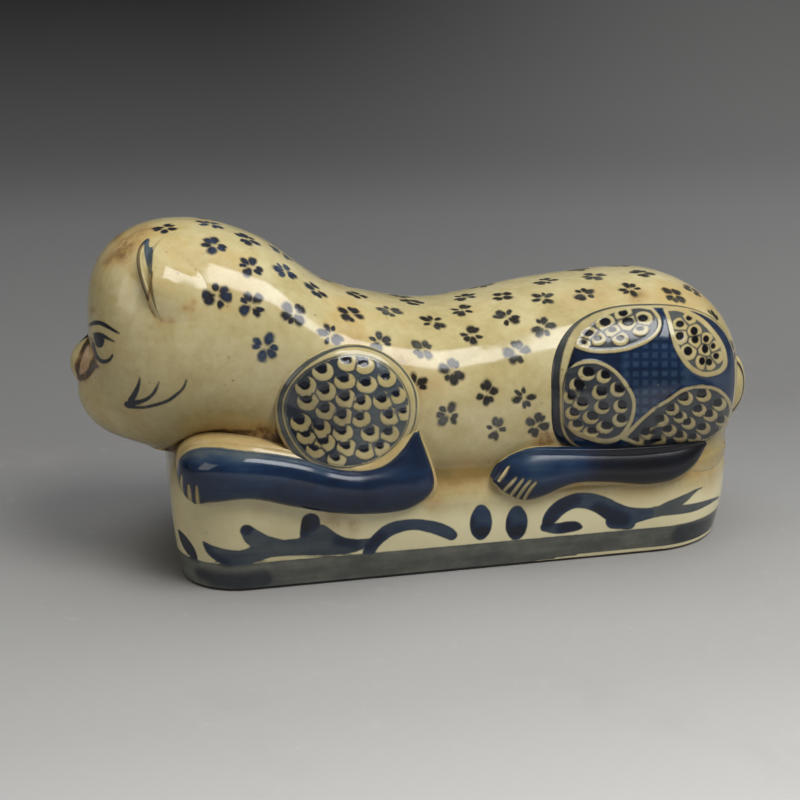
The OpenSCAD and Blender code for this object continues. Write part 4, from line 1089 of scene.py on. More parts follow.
FORELEG_UPPER = [
    (-115.2, 49.5), (-113.6, 55.5), (-108, 60.4), (-98, 62), (-82, 60), (-66, 56), (-55, 52),
    (-44, 49.8), (-34, 51.5), (-26.5, 57), (-21, 63.6),
]
FORELEG_LOWER = [
    (-115.2, 47), (-114, 41.5), (-109.5, 37.6), (-102.5, 39.5), (-88, 41), (-70, 36), (-52, 31.6),
    (-33, 30.3), (-20.5, 32.6), (-12.6, 42), (-18.6, 63.8),
]
FORELEG_LIFTS = [1.5, 6, 8, 8, 8, 8, 7.8, 7.4, 6.8, 5.4, 3.0]
FORELEG_TOPS, FORELEG_CREST = [0, 0, 0, 0, 0, 0, 0.5, 2.2, 3.2, 3.6, 2.4], 2.2
FORE_TOES = fine_strokes([
    [(181.6, 476, 0.7), (181.4, 485, 1.3), (182.6, 496, 1.0)],
    [(188.6, 486, 1.0), (189.4, 495, 1.8), (190.8, 505, 1.5)],
    [(196.6, 487, 1.0), (197.2, 497, 1.8), (198.6, 508, 1.5)],
])
HIND_UPPER = [
    (12.5, 41.5), (16, 46), (23, 50), (31, 52.2), (44, 51.8), (60, 50.6), (76, 50), (92, 49.8),
    (104, 49.6), (111, 48.4),
]
HIND_LOWER = [
    (12.5, 40.2), (18, 35), (26, 31), (34, 32), (48, 36.8), (64, 36), (80, 33.6), (93, 34.6), (103, 40),
    (111, 47),
]
HIND_LIFTS = [1.2, 4, 6, 6.4, 6, 5.6, 5.4, 5.2, 4.4, 1.2]
HIND_TOPS, HIND_CREST = [0, 0.6, 1.8, 3.6, 4.2, 4.2, 4.0, 3.6, 2.6, 0.6], 0.7
HIND_TOES = fine_strokes([
    [(509, 467, 0.9), (505, 473, 1.4), (499.5, 480.5, 1.4)],
    [(516.5, 478, 0.9), (511.5, 483.5, 1.4), (505, 490.5, 1.4)],
    [(523.5, 479.5, 0.9), (518, 487, 1.5), (511.5, 495.5, 1.4)],
    [(530.5, 481, 0.9), (524.5, 488.5, 1.5), (518, 498, 1.4)],
    [(536.5, 482.5, 0.9), (531, 489, 1.4), (525, 499, 1.4)],
])
# Toes are grooves left bare, and the hind foot's ink covers its upper edge
TOE_DEPTH, TOE_FADE, TOE_INSIDE, LIMB_OVER = 1.0, (-0.6, 0.5), (-0.5, 1.0), 0.1
MERGED, MERGED_RISE, MERGED_X = 4.0, (0.2, 0.8), (470, 478)
# Tone, blue and gloss by the places of the photograph: thin glaze on the paw, a dark heel
# Lighter spots of the limbs; the one high on the hind foot is partly painted sheen, where a dull reflection
# falls
LIMB_BLUER = [(240, 480, 45, 0.16), (538, 460, 26, 0.26), (575, 462, 16, 0.14), (400, 480, 30, 0.04)]
LIMB_TONE, HEEL_DARKER, HEEL_X, UPPER_DARKER, UPPER_X = 0.74, 0.24, (575, 615), 0.02, (536, 558)
THIN, THIN_RISE, THIN_X, THIN_BLUE_LESS = 0.34, (0.55, 0.95), (345, 320), 0.8
LIMB_BLUE, HEEL_BLUE_LESS, HEEL_BLUE_X = 1.0, 0.55, (580, 640)
DULL, DULL_X, HEEL_DULL, HEEL_DULL_X = 0.16, (305, 400), 0.02, (570, 620)
LIMB_STAIN, LIMB_STAIN_FADE = 0.4, (0.2, -0.8)
limbs = []
fore_form = FORELEG_UPPER, FORELEG_LOWER, FORELEG_LIFTS, FORELEG_TOPS, FORELEG_CREST
hind_form = HIND_UPPER, HIND_LOWER, HIND_LIFTS, HIND_TOPS, HIND_CREST
for name, form, toes in (
    ("left_foreleg_roll", fore_form, FORE_TOES),
    ("left_hind_foot_roll", hind_form, HIND_TOES),
):
    piece, inside, rise = limb(name, *form)
    places = to_photo(piece.points)
    photo_x = places[:, 0]
    gaps = brush(places, toes) * PX_MM
    piece.points[:, 1] += TOE_DEPTH * smooth(gaps, *TOE_FADE) * smooth(inside, *TOE_INSIDE)
    merged = MERGED * smooth(rise, *MERGED_RISE) * smooth(photo_x, *MERGED_X)
    thin = THIN * smooth(rise, *THIN_RISE) * smooth(photo_x, *THIN_X)
    darker = HEEL_DARKER * smooth(photo_x, *HEEL_X) + UPPER_DARKER * merged * smooth(photo_x, *UPPER_X)
    paint(
        piece,
        ink=np.minimum(inside + LIMB_OVER + merged, -gaps),
        tone=LIMB_TONE - smudges(places, LIMB_BLUER) + darker - thin,
        blue=LIMB_BLUE - HEEL_BLUE_LESS * smooth(photo_x, *HEEL_BLUE_X) - THIN_BLUE_LESS * thin,
        stain=LIMB_STAIN * smooth(inside + merged, *LIMB_STAIN_FADE),
        dull=DULL * smooth(photo_x, *DULL_X) + HEEL_DULL * smooth(photo_x, *HEEL_DULL_X),
    )
    limbs.append(piece)
left_foreleg, left_hind_foot = limbs

# Ears: mounds that melt into the head behind, with a groove behind a thin front rim
EAR_AT, EAR_SIZE, EAR_GRID, EAR_LIFT, EAR_LOWEST = (-112.5, 126.0), (34.0, 37.0), (112, 122), 6.4, -0.2
EAR_STARTS, EAR_SINKS, EAR_RISES, EAR_SHOULDER = (-1.2, 1.8), (3, 26), (109, 130), 6.0
EAR_RIM, GROOVE, GROOVE_W, GROOVE_POWER, GROOVE_EDGE = 1.3, 4.4, 4.6, 1.2, 0.1
GROOVE_WIDENS, GROOVE_DEEPENS, GROOVE_LEAST_W, EAR_STEPS = (112, 137), (111, 130), 0.01, 8
EAR_FRONT = curve_through([
    (106, -115), (110.5, -118), (115, -120.6), (121.5, -122.8), (128, -124.6), (134, -125.2),
    (138.5, -123.4), (142, -119.5), (145, -115),
], EAR_STEPS)
EAR_STROKES = fine_strokes([
    [(147.5, 242, 3.4), (148.3, 246, 4.2), (148.5, 252, 4.2), (149, 259, 3.6), (149.8, 266, 2.4),
     (150.6, 273, 1.3)],
    [(147.5, 240.5, 1.2), (142, 243.2, 1.7), (138.4, 248, 1.9), (137.2, 254, 1.9), (137.8, 263, 1.6),
     (140.2, 275, 1.2), (143.4, 287, 1.1), (147, 299, 1.0)],
])
EAR_LINES = fine_strokes([
    [(138, 265, 0.9), (140, 275, 1.2), (143, 286, 1.3), (147, 299, 1.4)],
    [(151.5, 272, 1.1), (151, 284, 1.2), (148, 297, 1.4)],
])
FAR_EAR_LINE = fine_strokes([
    [(143, 226, 2.0), (150, 222, 3.0), (165, 219, 3.0), (185, 218, 3.0), (200, 219, 2.0)],
])
# The rim's ink is darker and greyer than the blue inside the ear
EAR_TONE, EAR_RIM_MORE, EAR_BLUE, EAR_RIM_LESS = 0.26, 0.44, 0.9, 0.6
EAR_RIM_X, EAR_RIM_Y = (144, 140), (270, 280)
EAR_STAIN, EAR_BLEED, EAR_FACE_STAIN, EAR_FACE_BLEED = 0.85, (-1.6, 0.8), 0.5, -2.6
FAR_RIM_EDGE, FAR_RIM_TONE, FAR_RIM_BLUE = -1.0, 0.7, 0.3


def ear_mound(name, out, top, slope):
    """The left ear: the way it stands out, the heights between which its top sinks into the crown,
    and how fast they drop behind the rim."""
    s, x, z = oval_grid(*EAR_GRID, EAR_AT, EAR_SIZE, (2, 2))
    base, normals = on_side(body_side, x, z)
    behind = x - np.interp(z, EAR_FRONT[:, 0], EAR_FRONT[:, 1])
    ear = smooth(behind, *EAR_STARTS) * (1 - smooth(behind, *EAR_SINKS)) * smooth(z, *EAR_RISES)
    ear *= 1 - smooth(z + slope * np.maximum(behind - EAR_SHOULDER, 0), *top)
    half_w = (GROOVE_W * smooth(z, *GROOVE_WIDENS) + GROOVE_LEAST_W) / 2
    across = (behind - EAR_RIM - half_w) / half_w
    groove = GROOVE * smooth(z, *GROOVE_DEEPENS) * np.maximum(1 - across**2, 0) ** GROOVE_POWER
    height = np.maximum(EAR_LIFT * ear - groove * smooth(1 - s, 0, GROOVE_EDGE), EAR_LOWEST)
    piece = lifted(name, base + height[..., None] * np.array(out) - normals * PAD_BED, base, normals)
    places = to_photo(near_side(piece.points))
    rim_share = np.maximum(smooth(places[:, 0], *EAR_RIM_X), smooth(places[:, 1], *EAR_RIM_Y))
    lines = EAR_STAIN * bled(places, EAR_LINES, *EAR_BLEED)
    lines += EAR_FACE_STAIN * bled(places, FACE_STAIN_LINES, EAR_FACE_BLEED)
    paint(
        piece,
        ink=brush(places, EAR_STROKES) * PX_MM,
        tone=EAR_TONE + EAR_RIM_MORE * rim_share,
        blue=EAR_BLUE - EAR_RIM_LESS * rim_share,
        stain=np.clip(lines + smudges(places, HEAD_STAINS), 0, 1),
    )
    paint_flowers(piece)
    return piece


left_ear = ear_mound("left_ear_mound", (-0.12, -0.98, 0.12), (135.5, 142.5), 0.65)
right_ear = ear_mound("right_ear_mound", (-0.12, -0.94, 0.30), (138.0, 143.0), 0.0)
right_ear = right_ear.mirrored("right_ear_mound")
far_rim = brush(to_photo(right_ear.points), FAR_EAR_LINE) * PX_MM
paint(
    right_ear,
    ink=np.maximum(right_ear.values["ink"], far_rim),
    tone=np.where(far_rim > FAR_RIM_EDGE, FAR_RIM_TONE, right_ear.values["tone"]),
    blue=np.where(far_rim > FAR_RIM_EDGE, FAR_RIM_BLUE, right_ear.values["blue"]),
)

# Nose and tail: lobes on the ends
LOBE_BED = 0.2


def end_lobe(name, y, z, wall, out, direction):
    base = np.stack([wall, y, z], -1)
    normals = np.zeros_like(base)
    normals[..., 0] = direction
    piece = lifted(name, base + normals * (out - LOBE_BED)[..., None], base, normals)
    if direction < 0:
        piece.smooth_faces = [f[:, ::-1] for f in piece.smooth_faces]
        piece.flat_faces = [f[:, ::-1] for f in piece.flat_faces]
    return piece


NOSE_Z, NOSE_ABOVE, NOSE_BELOW, NOSE_LIFT, NOSE_POWER = 90.0, 9.5, 12.0, 6.1, 1.25
NOSE_GRID, NOSE_HALF, NOSE_WIDER, NOSE_WIDER_Z = (76, 70), 9.0, 4.5, (98, 86)
NOSE_WORN = [
    (89, 344), (92.5, 349), (93, 357), (90, 366), (84, 373), (79.5, 374), (80.5, 365), (83, 356),
    (85.5, 349),
]
NOSE_CONTOUR = fine_strokes([[(72, 346, 0.7), (80, 340.5, 1.0), (89, 335, 1.1)]])
NOSE_TONE, NOSE_STAIN, NOSE_GROUND_STAIN, WORN_EDGE = 0.75, 0.95, 0.1, (-1.0, 1.5)
u, v = disc_map(*NOSE_GRID)
s = np.minimum(np.hypot(u, v), 1)
z = NOSE_Z + v * np.where(v > 0, NOSE_ABOVE, NOSE_BELOW)
y = u * (NOSE_HALF + NOSE_WIDER * smooth(z, *NOSE_WIDER_Z))
wall = end_x(y, z, HEAD_X, HEAD_REACH, -1, FACE_POWER)
nose = end_lobe("worn_nose", y, z, wall, NOSE_LIFT * (1 - s**2) ** NOSE_POWER, -1)
nose_places = to_photo(near_side(nose.points))
paint(
    nose,
    worn=smooth(inside_outline(nose_places, NOSE_WORN), *WORN_EDGE),
    ink=brush(nose_places, NOSE_CONTOUR) * PX_MM,
    tone=NOSE_TONE,
    stain=np.clip(NOSE_STAIN * bled(nose_places, FACE_STAIN_LINES, LINE_BLEED) + NOSE_GROUND_STAIN, 0, 1),
)
# Lines up the tail: half width and distance from the middle
TAIL_LINES, TAIL_TONE, TAIL_STAIN, TAIL_STAIN_RIM = ((0.5, 5.6), (0.45, 2.2)), 0.55, 0.5, (0.8, 1.0)
TAIL_Z, TAIL_W, TAIL_SPAN, TAIL_GRID = 59.0, 18.0, 38.0, (60, 110)
u, v = disc_map(*TAIL_GRID)
s = np.minimum(np.hypot(u, v), 1)
y, z = u * TAIL_W / 2, TAIL_Z + v * TAIL_SPAN / 2
wall = end_x(y, z, RUMP_X, RUMP_REACH, 1, RUMP_POWER)
tail = end_lobe("glazed_tail", y, z, wall, (TAIL_X - wall) * np.sqrt(1 - s**2), 1)
paint(
    tail,
    ink=np.maximum(*(half - np.abs(np.abs(y) - at) for half, at in TAIL_LINES)),
    tone=TAIL_TONE,
    stain=TAIL_STAIN * smooth(s, *TAIL_STAIN_RIM),
)


# Materials
def add(tree, kind, inputs=None, **settings):
    node = tree.nodes.new(kind)
    for key, value in settings.items():
        setattr(node, key, value)
    for key, value in (inputs or {}).items():
        if isinstance(value, bpy.types.NodeSocket):
            tree.links.new(value, node.inputs[key])
        else:
            node.inputs[key].default_value = value
    return node


def calc(tree, operation, a, b=0.0):
    return add(tree, "ShaderNodeMath", {0: a, 1: b}, operation=operation).outputs[0]


def vector(tree, operation, inputs):
    return add(tree, "ShaderNodeVectorMath", inputs, operation=operation).outputs[0]


def span(tree, value, low, high, to_low=0.0, to_high=1.0):
    inputs = {"Value": value, "From Min": low, "From Max": high, "To Min": to_low, "To Max": to_high}
    return add(tree, "ShaderNodeMapRange", inputs, interpolation_type="SMOOTHSTEP").outputs[0]


def mix(tree, share, a, b, blend="MIX"):
    inputs = {0: share, 6: a, 7: b}
    return add(tree, "ShaderNodeMix", inputs, data_type="RGBA", blend_type=blend).outputs[2]


def ramp(tree, value, stops):
    node = add(tree, "ShaderNodeValToRGB", {0: value})
    elements = node.color_ramp.elements
    while len(elements) < len(stops):
        elements.new(0.5)
    for element, (place, colour) in zip(elements, stops):
        element.position = place
        element.color = (*colour, 1)
    return node.outputs[0]


def noise(tree, where, scale, detail=3.0, rough=0.5):
    inputs = {"Vector": where, "Scale": scale, "Detail": detail, "Roughness": rough}
    return add(tree, "ShaderNodeTexNoise", inputs).outputs[0]


def attribute(tree, name, output="Fac"):
    return add(tree, "ShaderNodeAttribute", attribute_name=name).outputs[output]


def swing(tree, value, middle, size):
    """A noise value moved round zero and scaled."""
    return calc(tree, "MULTIPLY", calc(tree, "SUBTRACT", value, middle), size)


PETALS, PETAL_AT, PETAL_LONG, PETAL_SLIM, PETAL_FAT, PETAL_TAPER = 6, 3.2, 2.2, 1.4, 1.8, 0.12
PETAL_SWAY, PETAL_SPREAD, PETAL_SIZE, SPOT_EDGE = 0.26, 0.24, 0.97, (0.6, 1.4)
# How fast sway and size change from kind to kind, and from dab to dab
SWAY_PACE, SWAY_STEP, SIZE_PACE, SIZE_STEP = 23.0, 2.4, 37.0, 1.9


def petal_distance(tree, wobble):
    """Distance from the nearest petal's middle, as a share of its size, and how near the spot is.
    The kind of the spot sways each brush dab and changes its size."""
    bloom = attribute(tree, "bloom", "Vector")
    kind = attribute(tree, "bloom_kind")
    flat = vector(tree, "MULTIPLY", {0: bloom, 1: (1, 1, 0)})
    moved = vector(tree, "ADD", {0: flat, 1: wobble})
    reach = add(tree, "ShaderNodeSeparateXYZ", {0: bloom}).outputs[2]
    wide = span(tree, kind, 0.0, 1.0, PETAL_SLIM, PETAL_FAT)

    def wave(pace, start, size, middle):
        turns = calc(tree, "ADD", calc(tree, "MULTIPLY", kind, pace), start)
        return calc(tree, "ADD", calc(tree, "MULTIPLY", calc(tree, "SINE", turns), size), middle)

    best = None
    for i in range(PETALS):
        turn = wave(SWAY_PACE, SWAY_STEP * i, PETAL_SWAY, -2 * math.pi * i / PETALS)
        size = wave(SIZE_PACE, SIZE_STEP * i, PETAL_SPREAD, PETAL_SIZE)
        about = {"Vector": moved, "Angle": turn}
        turned = add(tree, "ShaderNodeVectorRotate", about, rotation_type="Z_AXIS").outputs[0]
        dab = add(tree, "ShaderNodeSeparateXYZ", {0: turned}).outputs
        out = calc(tree, "DIVIDE", calc(tree, "SUBTRACT", dab[0], PETAL_AT), PETAL_LONG)
        taper = calc(tree, "ADD", calc(tree, "MULTIPLY", out, PETAL_TAPER), 1.0)
        side = calc(tree, "DIVIDE", dab[1], calc(tree, "MULTIPLY", wide, taper))
        square = calc(tree, "ADD", calc(tree, "MULTIPLY", out, out), calc(tree, "MULTIPLY", side, side))
        away = calc(tree, "DIVIDE", calc(tree, "SQRT", square), size)
        best = away if best is None else calc(tree, "MINIMUM", best, away)
    return best, span(tree, reach, *(FLOWER_REACH - edge for edge in SPOT_EDGE))


CREAM = [
    (0.28, (0.33, 0.265, 0.115)), (0.45, (0.44, 0.372, 0.185)), (0.6, (0.52, 0.458, 0.265)),
    (0.75, (0.59, 0.54, 0.35)),
]
OCHRE = (0.46, 0.30, 0.085, 1)
SPECK = (0.14, 0.07, 0.025, 1)
PAINTED_LIGHT_TINT = (0.80, 0.745, 0.49, 1)
DARKENING_TINT = (0.37, 0.33, 0.24, 1)
GREY_INK = [
    (0.0, (0.18, 0.18, 0.15)), (0.2, (0.085, 0.088, 0.078)), (0.45, (0.034, 0.037, 0.038)),
    (0.7, (0.011, 0.012, 0.016)), (1.0, (0.003, 0.003, 0.005)),
]
BLUE_INK = [
    (0.0, (0.15, 0.18, 0.18)), (0.2, (0.075, 0.1, 0.115)), (0.4, (0.027, 0.053, 0.094)),
    (0.6, (0.007, 0.023, 0.062)), (0.8, (0.004, 0.009, 0.028)), (1.0, (0.003, 0.004, 0.009)),
]
STAIN_AND_SHADE = [
    (0.0, (0.50, 0.31, 0.09)), (0.4, (0.35, 0.18, 0.045)), (0.7, (0.14, 0.06, 0.018)),
    (1.0, (0.025, 0.011, 0.006)),
]
WORN = [(0.3, (0.34, 0.20, 0.11)), (0.7, (0.54, 0.40, 0.27))]
CLAY = [(0.3, (0.36, 0.22, 0.12)), (0.55, (0.50, 0.34, 0.20)), (0.8, (0.58, 0.44, 0.29))]
CLAY_SPECK = (0.07, 0.035, 0.02, 1)
# Noises of the glaze and the clay: scale, detail and roughness
CLOUDS, WIDE, GRAIN, DABS, BLOTCH = (26, 6, 0.62), (9, 3), (280, 3, 0.6), (110, 4, 0.6), (75, 5, 0.68)
OCHRES, PATCHES, SWELLS = (17, 6, 0.68), (55, 2), (60, 2)
STRANDS, STREAKS = (30.0, 30.0, 260.0), (1.0, 3, 0.6)
CLAY_CLOUDS, CLAY_GRAIN, SPECKS, CLAY_SPECKS = (30, 6, 0.65), (900, 3, 0.6), 190.0, 240.0
WOBBLE, WOBBLE_DETAIL, WOBBLE_SIZE, NOISE_MIDDLE = 320.0, 2.0, 1.7, (0.5, 0.5, 0.5)
# How far noises swing a tone or an edge: their middle and size
CLOUD_SHARE, WIDE_SHARE, BLOTCH_SWING, GRAIN_SWING = 0.55, 0.45, (0.5, 0.42), (0.5, 0.2)
FRAYED, UNEVEN, DAB_RIM, DAB_SWING = (0.5, 0.5), (0.5, 0.34), (0.75, 0.2), (0.55, 1.5)
# Ranges of a noise or a painted value, and of what they become
OCHRE_SPAN, PATCH_SPAN, SPECK_SPAN, SPECK_SHARE = (0.48, 0.75, 0.0, 0.72), (0.5, 0.62), (0.15, 0.07), 0.55
PALE_SPAN, DARKENING_SPAN, STAIN_AND_SHADE_SPAN = (0.35, 0.6, 0.6, 1.1), (0.3, 0.62, 0.8, 1.1), (0.3, 0.62, 0.5, 1.2)
STAIN_AND_SHADE_COVER, POOLED, INK_EDGE = (0.03, 0.9, 0.0, 0.92), (0.9, 0.0, 0.0, 0.12), (-0.4, 0.4)
DAB_EDGE, DAB_SHARE, DAB_BLUER = (1.36, 0.62), 0.97, (-0.02, -0.07, 0.0, 0.9)
GLOSS_SPAN, GLOSS_LESS, WORN_SPAN, WORN_ROUGHER = (0.3, 0.7), 0.06, (0.3, 0.42), 0.55
CLAY_SPECK_SPAN, CLAY_ROUGH = (0.14, 0.05, 0.0, 0.7), (0.3, 0.7, 0.7, 0.9)
# Bumps: strength and height in metres, and the shares of the noises in them
GLAZE_BUMP, GRAIN_BUMP, CLAY_BUMP, CLAY_CLOUD_BUMP = (0.12, 0.002), 0.08, (0.35, 0.0006), 2.0


def fresh(name):
    """A new material, its nodes, and the place on the object."""
    material = bpy.data.materials.new(name)
    material.use_nodes = True
    tree = material.node_tree
    return material, tree, add(tree, "ShaderNodeTexCoord").outputs["Object"]


def surface(tree, colour, rough, height, strength, distance):
    """Gives the shader its colour, roughness and bumps."""
    shader = tree.nodes["Principled BSDF"].inputs
    bump = add(tree, "ShaderNodeBump", {"Strength": strength, "Distance": distance, "Height": height})
    tree.links.new(colour, shader["Base Color"])
    tree.links.new(rough, shader["Roughness"])
    tree.links.new(bump.outputs[0], shader["Normal"])


def cells(tree, where, scale):
    return add(tree, "ShaderNodeTexVoronoi", {"Vector": where, "Scale": scale}).outputs["Distance"]


def glaze(name, gloss, petals=False, worn=False):
    """Cream glaze with cobalt under it, stains and iron specks, painted shade in its creases and on the lower
    cheek, and painted light low on the plinth.
    """
    material, tree, where = fresh(name)
    clouds, wide, grain, dabs, blotch = (
        noise(tree, where, *kind) for kind in (CLOUDS, WIDE, GRAIN, DABS, BLOTCH)
    )
    shade = calc(tree, "MULTIPLY", clouds, CLOUD_SHARE)
    shade = calc(tree, "ADD", shade, calc(tree, "MULTIPLY", wide, WIDE_SHARE))
    cream = calc(tree, "ADD", shade, swing(tree, blotch, *BLOTCH_SWING))
    colour = ramp(tree, calc(tree, "ADD", cream, swing(tree, grain, *GRAIN_SWING)), CREAM)
    colour = mix(tree, span(tree, noise(tree, where, *OCHRES), *OCHRE_SPAN), colour, OCHRE)
    patchy = span(tree, noise(tree, where, *PATCHES), *PATCH_SPAN)
    speck = calc(tree, "MULTIPLY", span(tree, cells(tree, where, SPECKS), *SPECK_SPAN), patchy)
    colour = mix(tree, calc(tree, "MULTIPLY", speck, SPECK_SHARE), colour, SPECK)

    # Painted light: the pale value lightens the lower plinth wall
    pale = calc(tree, "MULTIPLY", attribute(tree, "pale"), span(tree, wide, *PALE_SPAN))
    colour = mix(tree, pale, colour, PAINTED_LIGHT_TINT)
    # Darkening: painted shade in the creases and on the lower cheek, and a darker lower left on the disc and
    # the haunch panel
    dirt = calc(tree, "MULTIPLY", attribute(tree, "dirt"), span(tree, blotch, *DARKENING_SPAN))
    colour = mix(tree, dirt, colour, DARKENING_TINT, "MULTIPLY")
    # Stains, with spots of painted shade near the elbow and painted contact shadow along the plinth's foot
    stain = calc(tree, "MULTIPLY", attribute(tree, "stain"), span(tree, blotch, *STAIN_AND_SHADE_SPAN))
    colour = mix(tree, span(tree, stain, *STAIN_AND_SHADE_COVER), colour, ramp(tree, stain, STAIN_AND_SHADE))
    frayed = calc(tree, "ADD", attribute(tree, "ink"), swing(tree, grain, *FRAYED))
    strands = add(tree, "ShaderNodeMapping", {"Vector": where, "Scale": STRANDS}).outputs[0]
    streaks = noise(tree, strands, *STREAKS)
    uneven = calc(tree, "ADD", swing(tree, dabs, *UNEVEN), swing(tree, streaks, *UNEVEN))
    pooled = span(tree, attribute(tree, "ink"), *POOLED)
    tone = calc(tree, "ADD", calc(tree, "ADD", attribute(tree, "tone"), pooled), uneven)
    ink = mix(tree, attribute(tree, "blue"), ramp(tree, tone, GREY_INK), ramp(tree, tone, BLUE_INK))
    colour = mix(tree, span(tree, frayed, *INK_EDGE), colour, ink)
    if petals:
        inputs = {"Vector": where, "Scale": WOBBLE, "Detail": WOBBLE_DETAIL}
        shifts = add(tree, "ShaderNodeTexNoise", inputs).outputs["Color"]
        centred = vector(tree, "SUBTRACT", {0: shifts, 1: NOISE_MIDDLE})
        away, near = petal_distance(tree, vector(tree, "SCALE", {0: centred, "Scale": WOBBLE_SIZE}))
        petal = calc(tree, "MULTIPLY", span(tree, away, *DAB_EDGE), near)
        rimmed = calc(tree, "ADD", attribute(tree, "bloom_tone"), swing(tree, away, *DAB_RIM))
        tone = calc(tree, "ADD", rimmed, swing(tree, dabs, *DAB_SWING))
        bluer = span(tree, add(tree, "ShaderNodeSeparateXYZ", {0: where}).outputs[0], *DAB_BLUER)
        ink = mix(tree, bluer, ramp(tree, tone, GREY_INK), ramp(tree, tone, BLUE_INK))
        colour = mix(tree, calc(tree, "MULTIPLY", petal, DAB_SHARE), colour, ink)
    rough = span(tree, clouds, *GLOSS_SPAN, gloss, gloss + GLOSS_LESS)
    rough = calc(tree, "ADD", rough, attribute(tree, "dull"))
    if worn:
        bare = calc(tree, "MULTIPLY", attribute(tree, "worn"), span(tree, blotch, *WORN_SPAN))
        colour = mix(tree, bare, colour, ramp(tree, grain, WORN))
        rough = calc(tree, "ADD", rough, calc(tree, "MULTIPLY", bare, WORN_ROUGHER))
    height = calc(tree, "ADD", noise(tree, where, *SWELLS), calc(tree, "MULTIPLY", grain, GRAIN_BUMP))
    surface(tree, colour, rough, height, *GLAZE_BUMP)
    return material


def biscuit():
    """Bare fired clay with iron specks and a dusty bloom."""
    material, tree, where = fresh("bare_clay")
    clouds, grain = noise(tree, where, *CLAY_CLOUDS), noise(tree, where, *CLAY_GRAIN)
    speck = span(tree, cells(tree, where, CLAY_SPECKS), *CLAY_SPECK_SPAN)
    colour = mix(tree, speck, ramp(tree, clouds, CLAY), CLAY_SPECK)
    height = calc(tree, "ADD", grain, calc(tree, "MULTIPLY", clouds, CLAY_CLOUD_BUMP))
    surface(tree, colour, span(tree, grain, *CLAY_ROUGH), height, *CLAY_BUMP)
    return material


spotted_glaze = glaze("spotted_glaze", gloss=0.09, petals=True)
painted_glaze = glaze("painted_glaze", gloss=0.10)
cobalt_glaze = glaze("cobalt_glaze", gloss=0.10)
scale_glaze = glaze("scale_glaze", gloss=0.11)
worn_glaze = glaze("worn_glaze", gloss=0.14, worn=True)

for piece, material, slot, node in (
    (trunk, spotted_glaze, "glaze", "trunk"),
    (head, spotted_glaze, "glaze", "head"),
    (plinth, painted_glaze, "glaze", "plinth"),
    (left_ear, spotted_glaze, "glaze", "left_ear"),
    (right_ear, spotted_glaze, "glaze", "right_ear"),
    (nose, worn_glaze, "biscuit", "nose"),
    (tail, painted_glaze, "glaze", "tail"),
):
    piece.build(material, slot, node)
for left, right_name, material, slot, node in (
    (left_shoulder, "right_shoulder_disc", scale_glaze, "scales", "shoulder"),
    (left_haunch, "right_haunch_panel", scale_glaze, "scales", "haunch"),
    (left_foreleg, "right_foreleg_roll", cobalt_glaze, "cobalt", "foreleg"),
    (left_hind_foot, "right_hind_foot_roll", cobalt_glaze, "cobalt", "hind_foot"),
):
    left.build(material, slot, "left_" + node)
    left.mirrored(right_name).build(material, slot, "right_" + node)
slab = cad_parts["floor_slab"]
slab.data.materials.clear()
slab.data.materials.append(biscuit())

# Stage: a pale floor that sweeps up into a grey backdrop, in metres
SWEEP = [(-3.0, 0.0), (0.35, 0.0), (0.9, 0.0), (1.3, 0.02), (1.7, 0.12), (2.0, 0.4), (2.15, 0.9), (2.2, 3.0)]
SWEEP_STEPS, SWEEP_ROWS, SWEEP_HALF, SWEEP_ROUGH = 10, 3, 4, 0.8
# Its colours go by the way back and up, darkening there as a painted falloff of light and lighter to the
# right as painted light, with mottles and pits on the floor alone
SWEEP_COLOUR_AND_FALLOFF = [
    (0.0, (0.57, 0.562, 0.56)), (0.056, (0.355, 0.351, 0.351)), (0.1, (0.265, 0.263, 0.263)),
    (0.174, (0.172, 0.170, 0.172)), (0.31, (0.168, 0.167, 0.168)), (0.53, (0.177, 0.176, 0.178)),
    (0.75, (0.096, 0.096, 0.098)), (1.0, (0.020, 0.020, 0.022)),
]
UP_SHARE, WAY_FROM, WAY_TO, FLOOR_ENDS = 1.2, -0.3, 2.4, (0.12, 0.3)
RIGHT_SPAN, PAINTED_LIGHT_SIDE = (0.0, 1.6, 0.0, 0.3), (0.6, 0.6, 0.6, 1)
# Each kind of mark: noise, range and colour
FLOOR_MARKS = [
    ((12, 7, 0.7), (0.5, 0.75, 0.0, 0.3), (0.30, 0.26, 0.235, 1)),
    ((90, 6, 0.75), (0.55, 0.75, 0.0, 0.1), (0.62, 0.61, 0.6, 1)),
]
sweep_curve = curve_through(SWEEP, SWEEP_STEPS)
sweep_points = []
for across in np.linspace(-SWEEP_HALF, SWEEP_HALF, SWEEP_ROWS):
    sweep_points += [(across, back, max(up, 0.0)) for back, up in sweep_curve]
sweep_mesh = bpy.data.meshes.new("sweep")
sweep_mesh.from_pydata(sweep_points, [], grid_quads(SWEEP_ROWS, len(sweep_curve), False).tolist())
for face in sweep_mesh.polygons:
    face.use_smooth = True
sweep = bpy.data.objects.new("sweep", sweep_mesh)
bpy.context.scene.collection.objects.link(sweep)
stage_material, tree, place = fresh("backdrop")
right, back, up = add(tree, "ShaderNodeSeparateXYZ", {0: place}).outputs
way = calc(tree, "ADD", back, calc(tree, "MULTIPLY", up, UP_SHARE))
way = add(tree, "ShaderNodeMapRange", {"Value": way, "From Min": WAY_FROM, "From Max": WAY_TO}).outputs[0]
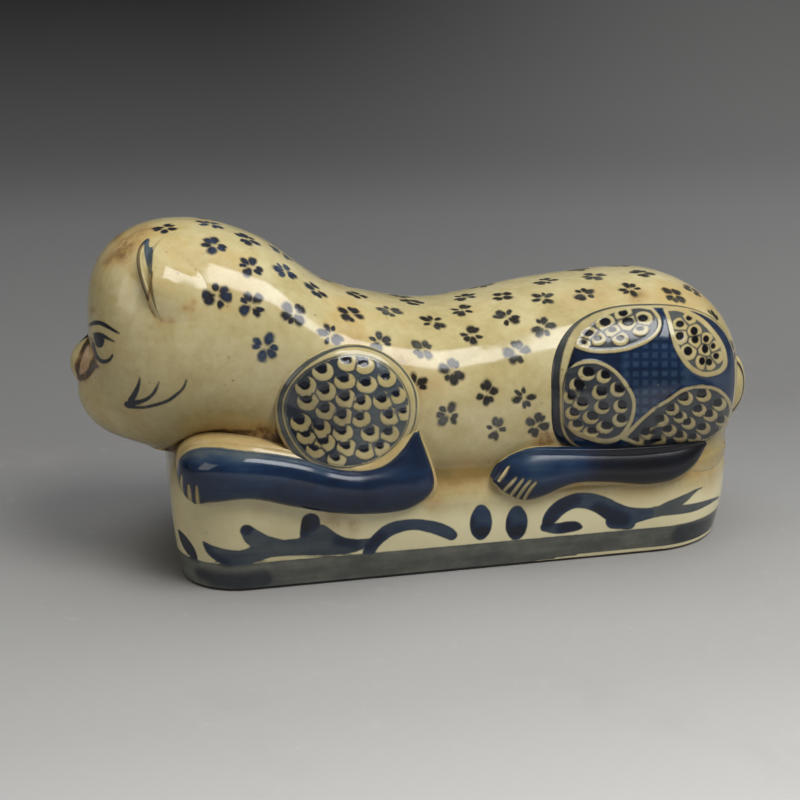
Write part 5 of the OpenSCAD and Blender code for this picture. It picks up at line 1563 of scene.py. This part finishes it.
# Painted light: the backdrop is lighter to the right
painted_light_share = calc(tree, "MULTIPLY", span(tree, right, *RIGHT_SPAN), span(tree, way, *FLOOR_ENDS))
colour = mix(tree, painted_light_share, ramp(tree, way, SWEEP_COLOUR_AND_FALLOFF), PAINTED_LIGHT_SIDE)
on_floor = span(tree, way, *FLOOR_ENDS[::-1])
for kind, spread, mark in FLOOR_MARKS:
    share = calc(tree, "MULTIPLY", span(tree, noise(tree, place, *kind), *spread), on_floor)
    colour = mix(tree, share, colour, mark)
stage_shader = tree.nodes["Principled BSDF"].inputs
tree.links.new(colour, stage_shader["Base Color"])
stage_shader["Roughness"].default_value = SWEEP_ROUGH
sweep_mesh.materials.append(stage_material)

# Lights: name, place, turn in degrees, size, power, colour, and whether the glaze mirrors it
LIGHTS = [
    ("window", (0.50, -0.62, 1.30), (25.7, 20.4, 0), (0.54, 0.66), 8.8, (0.98, 0.99, 1.0), True),
    ("ceiling", (0.2, 0.3, 2.2), (0, 0, 0), (2.4, 2.2), 33, (0.93, 0.97, 1.0), False),
    ("front", (0.70, -0.90, 1.50), (28.8, 26.2, 0), (1.2, 0.8), 17.5, (1.0, 0.96, 0.86), False),
    ("left_fill", (-1.6, -0.45, 0.9), (62.4, 0, -73.3), (0.9, 0.9), 4.4, (1.0, 0.94, 0.82), True),
]
ROOM_COLOUR, ROOM_POWER = (0.88, 0.83, 0.75, 1), 0.15
for name, at, turn, size, power, colour, mirrored in LIGHTS:
    data = bpy.data.lights.new(name, "AREA")
    data.shape = "RECTANGLE"
    data.size, data.size_y = size
    data.energy = power
    data.color = colour
    lamp = bpy.data.objects.new(name, data)
    lamp.location = at
    lamp.rotation_euler = [math.radians(a) for a in turn]
    lamp.visible_glossy = mirrored
    bpy.context.scene.collection.objects.link(lamp)
world = bpy.data.worlds.new("room")
world.use_nodes = True
room = world.node_tree.nodes["Background"].inputs
room[0].default_value = ROOM_COLOUR
room[1].default_value = ROOM_POWER
bpy.context.scene.world = world
bpy.context.scene.view_settings.view_transform = "Standard"

# Camera
camera_data = bpy.data.cameras.new("camera")
camera_data.sensor_width = SENSOR_MM
camera_data.lens = FOCAL_PX / IMAGE_PX * SENSOR_MM
camera = bpy.data.objects.new("camera", camera_data)
camera.location = Vector(CAMERA_AT * MM)
camera.rotation_euler = Vector(-CAMERA_BACK).to_track_quat("-Z", "Y").to_euler()
bpy.context.scene.collection.objects.link(camera)
bpy.context.scene.camera = camera
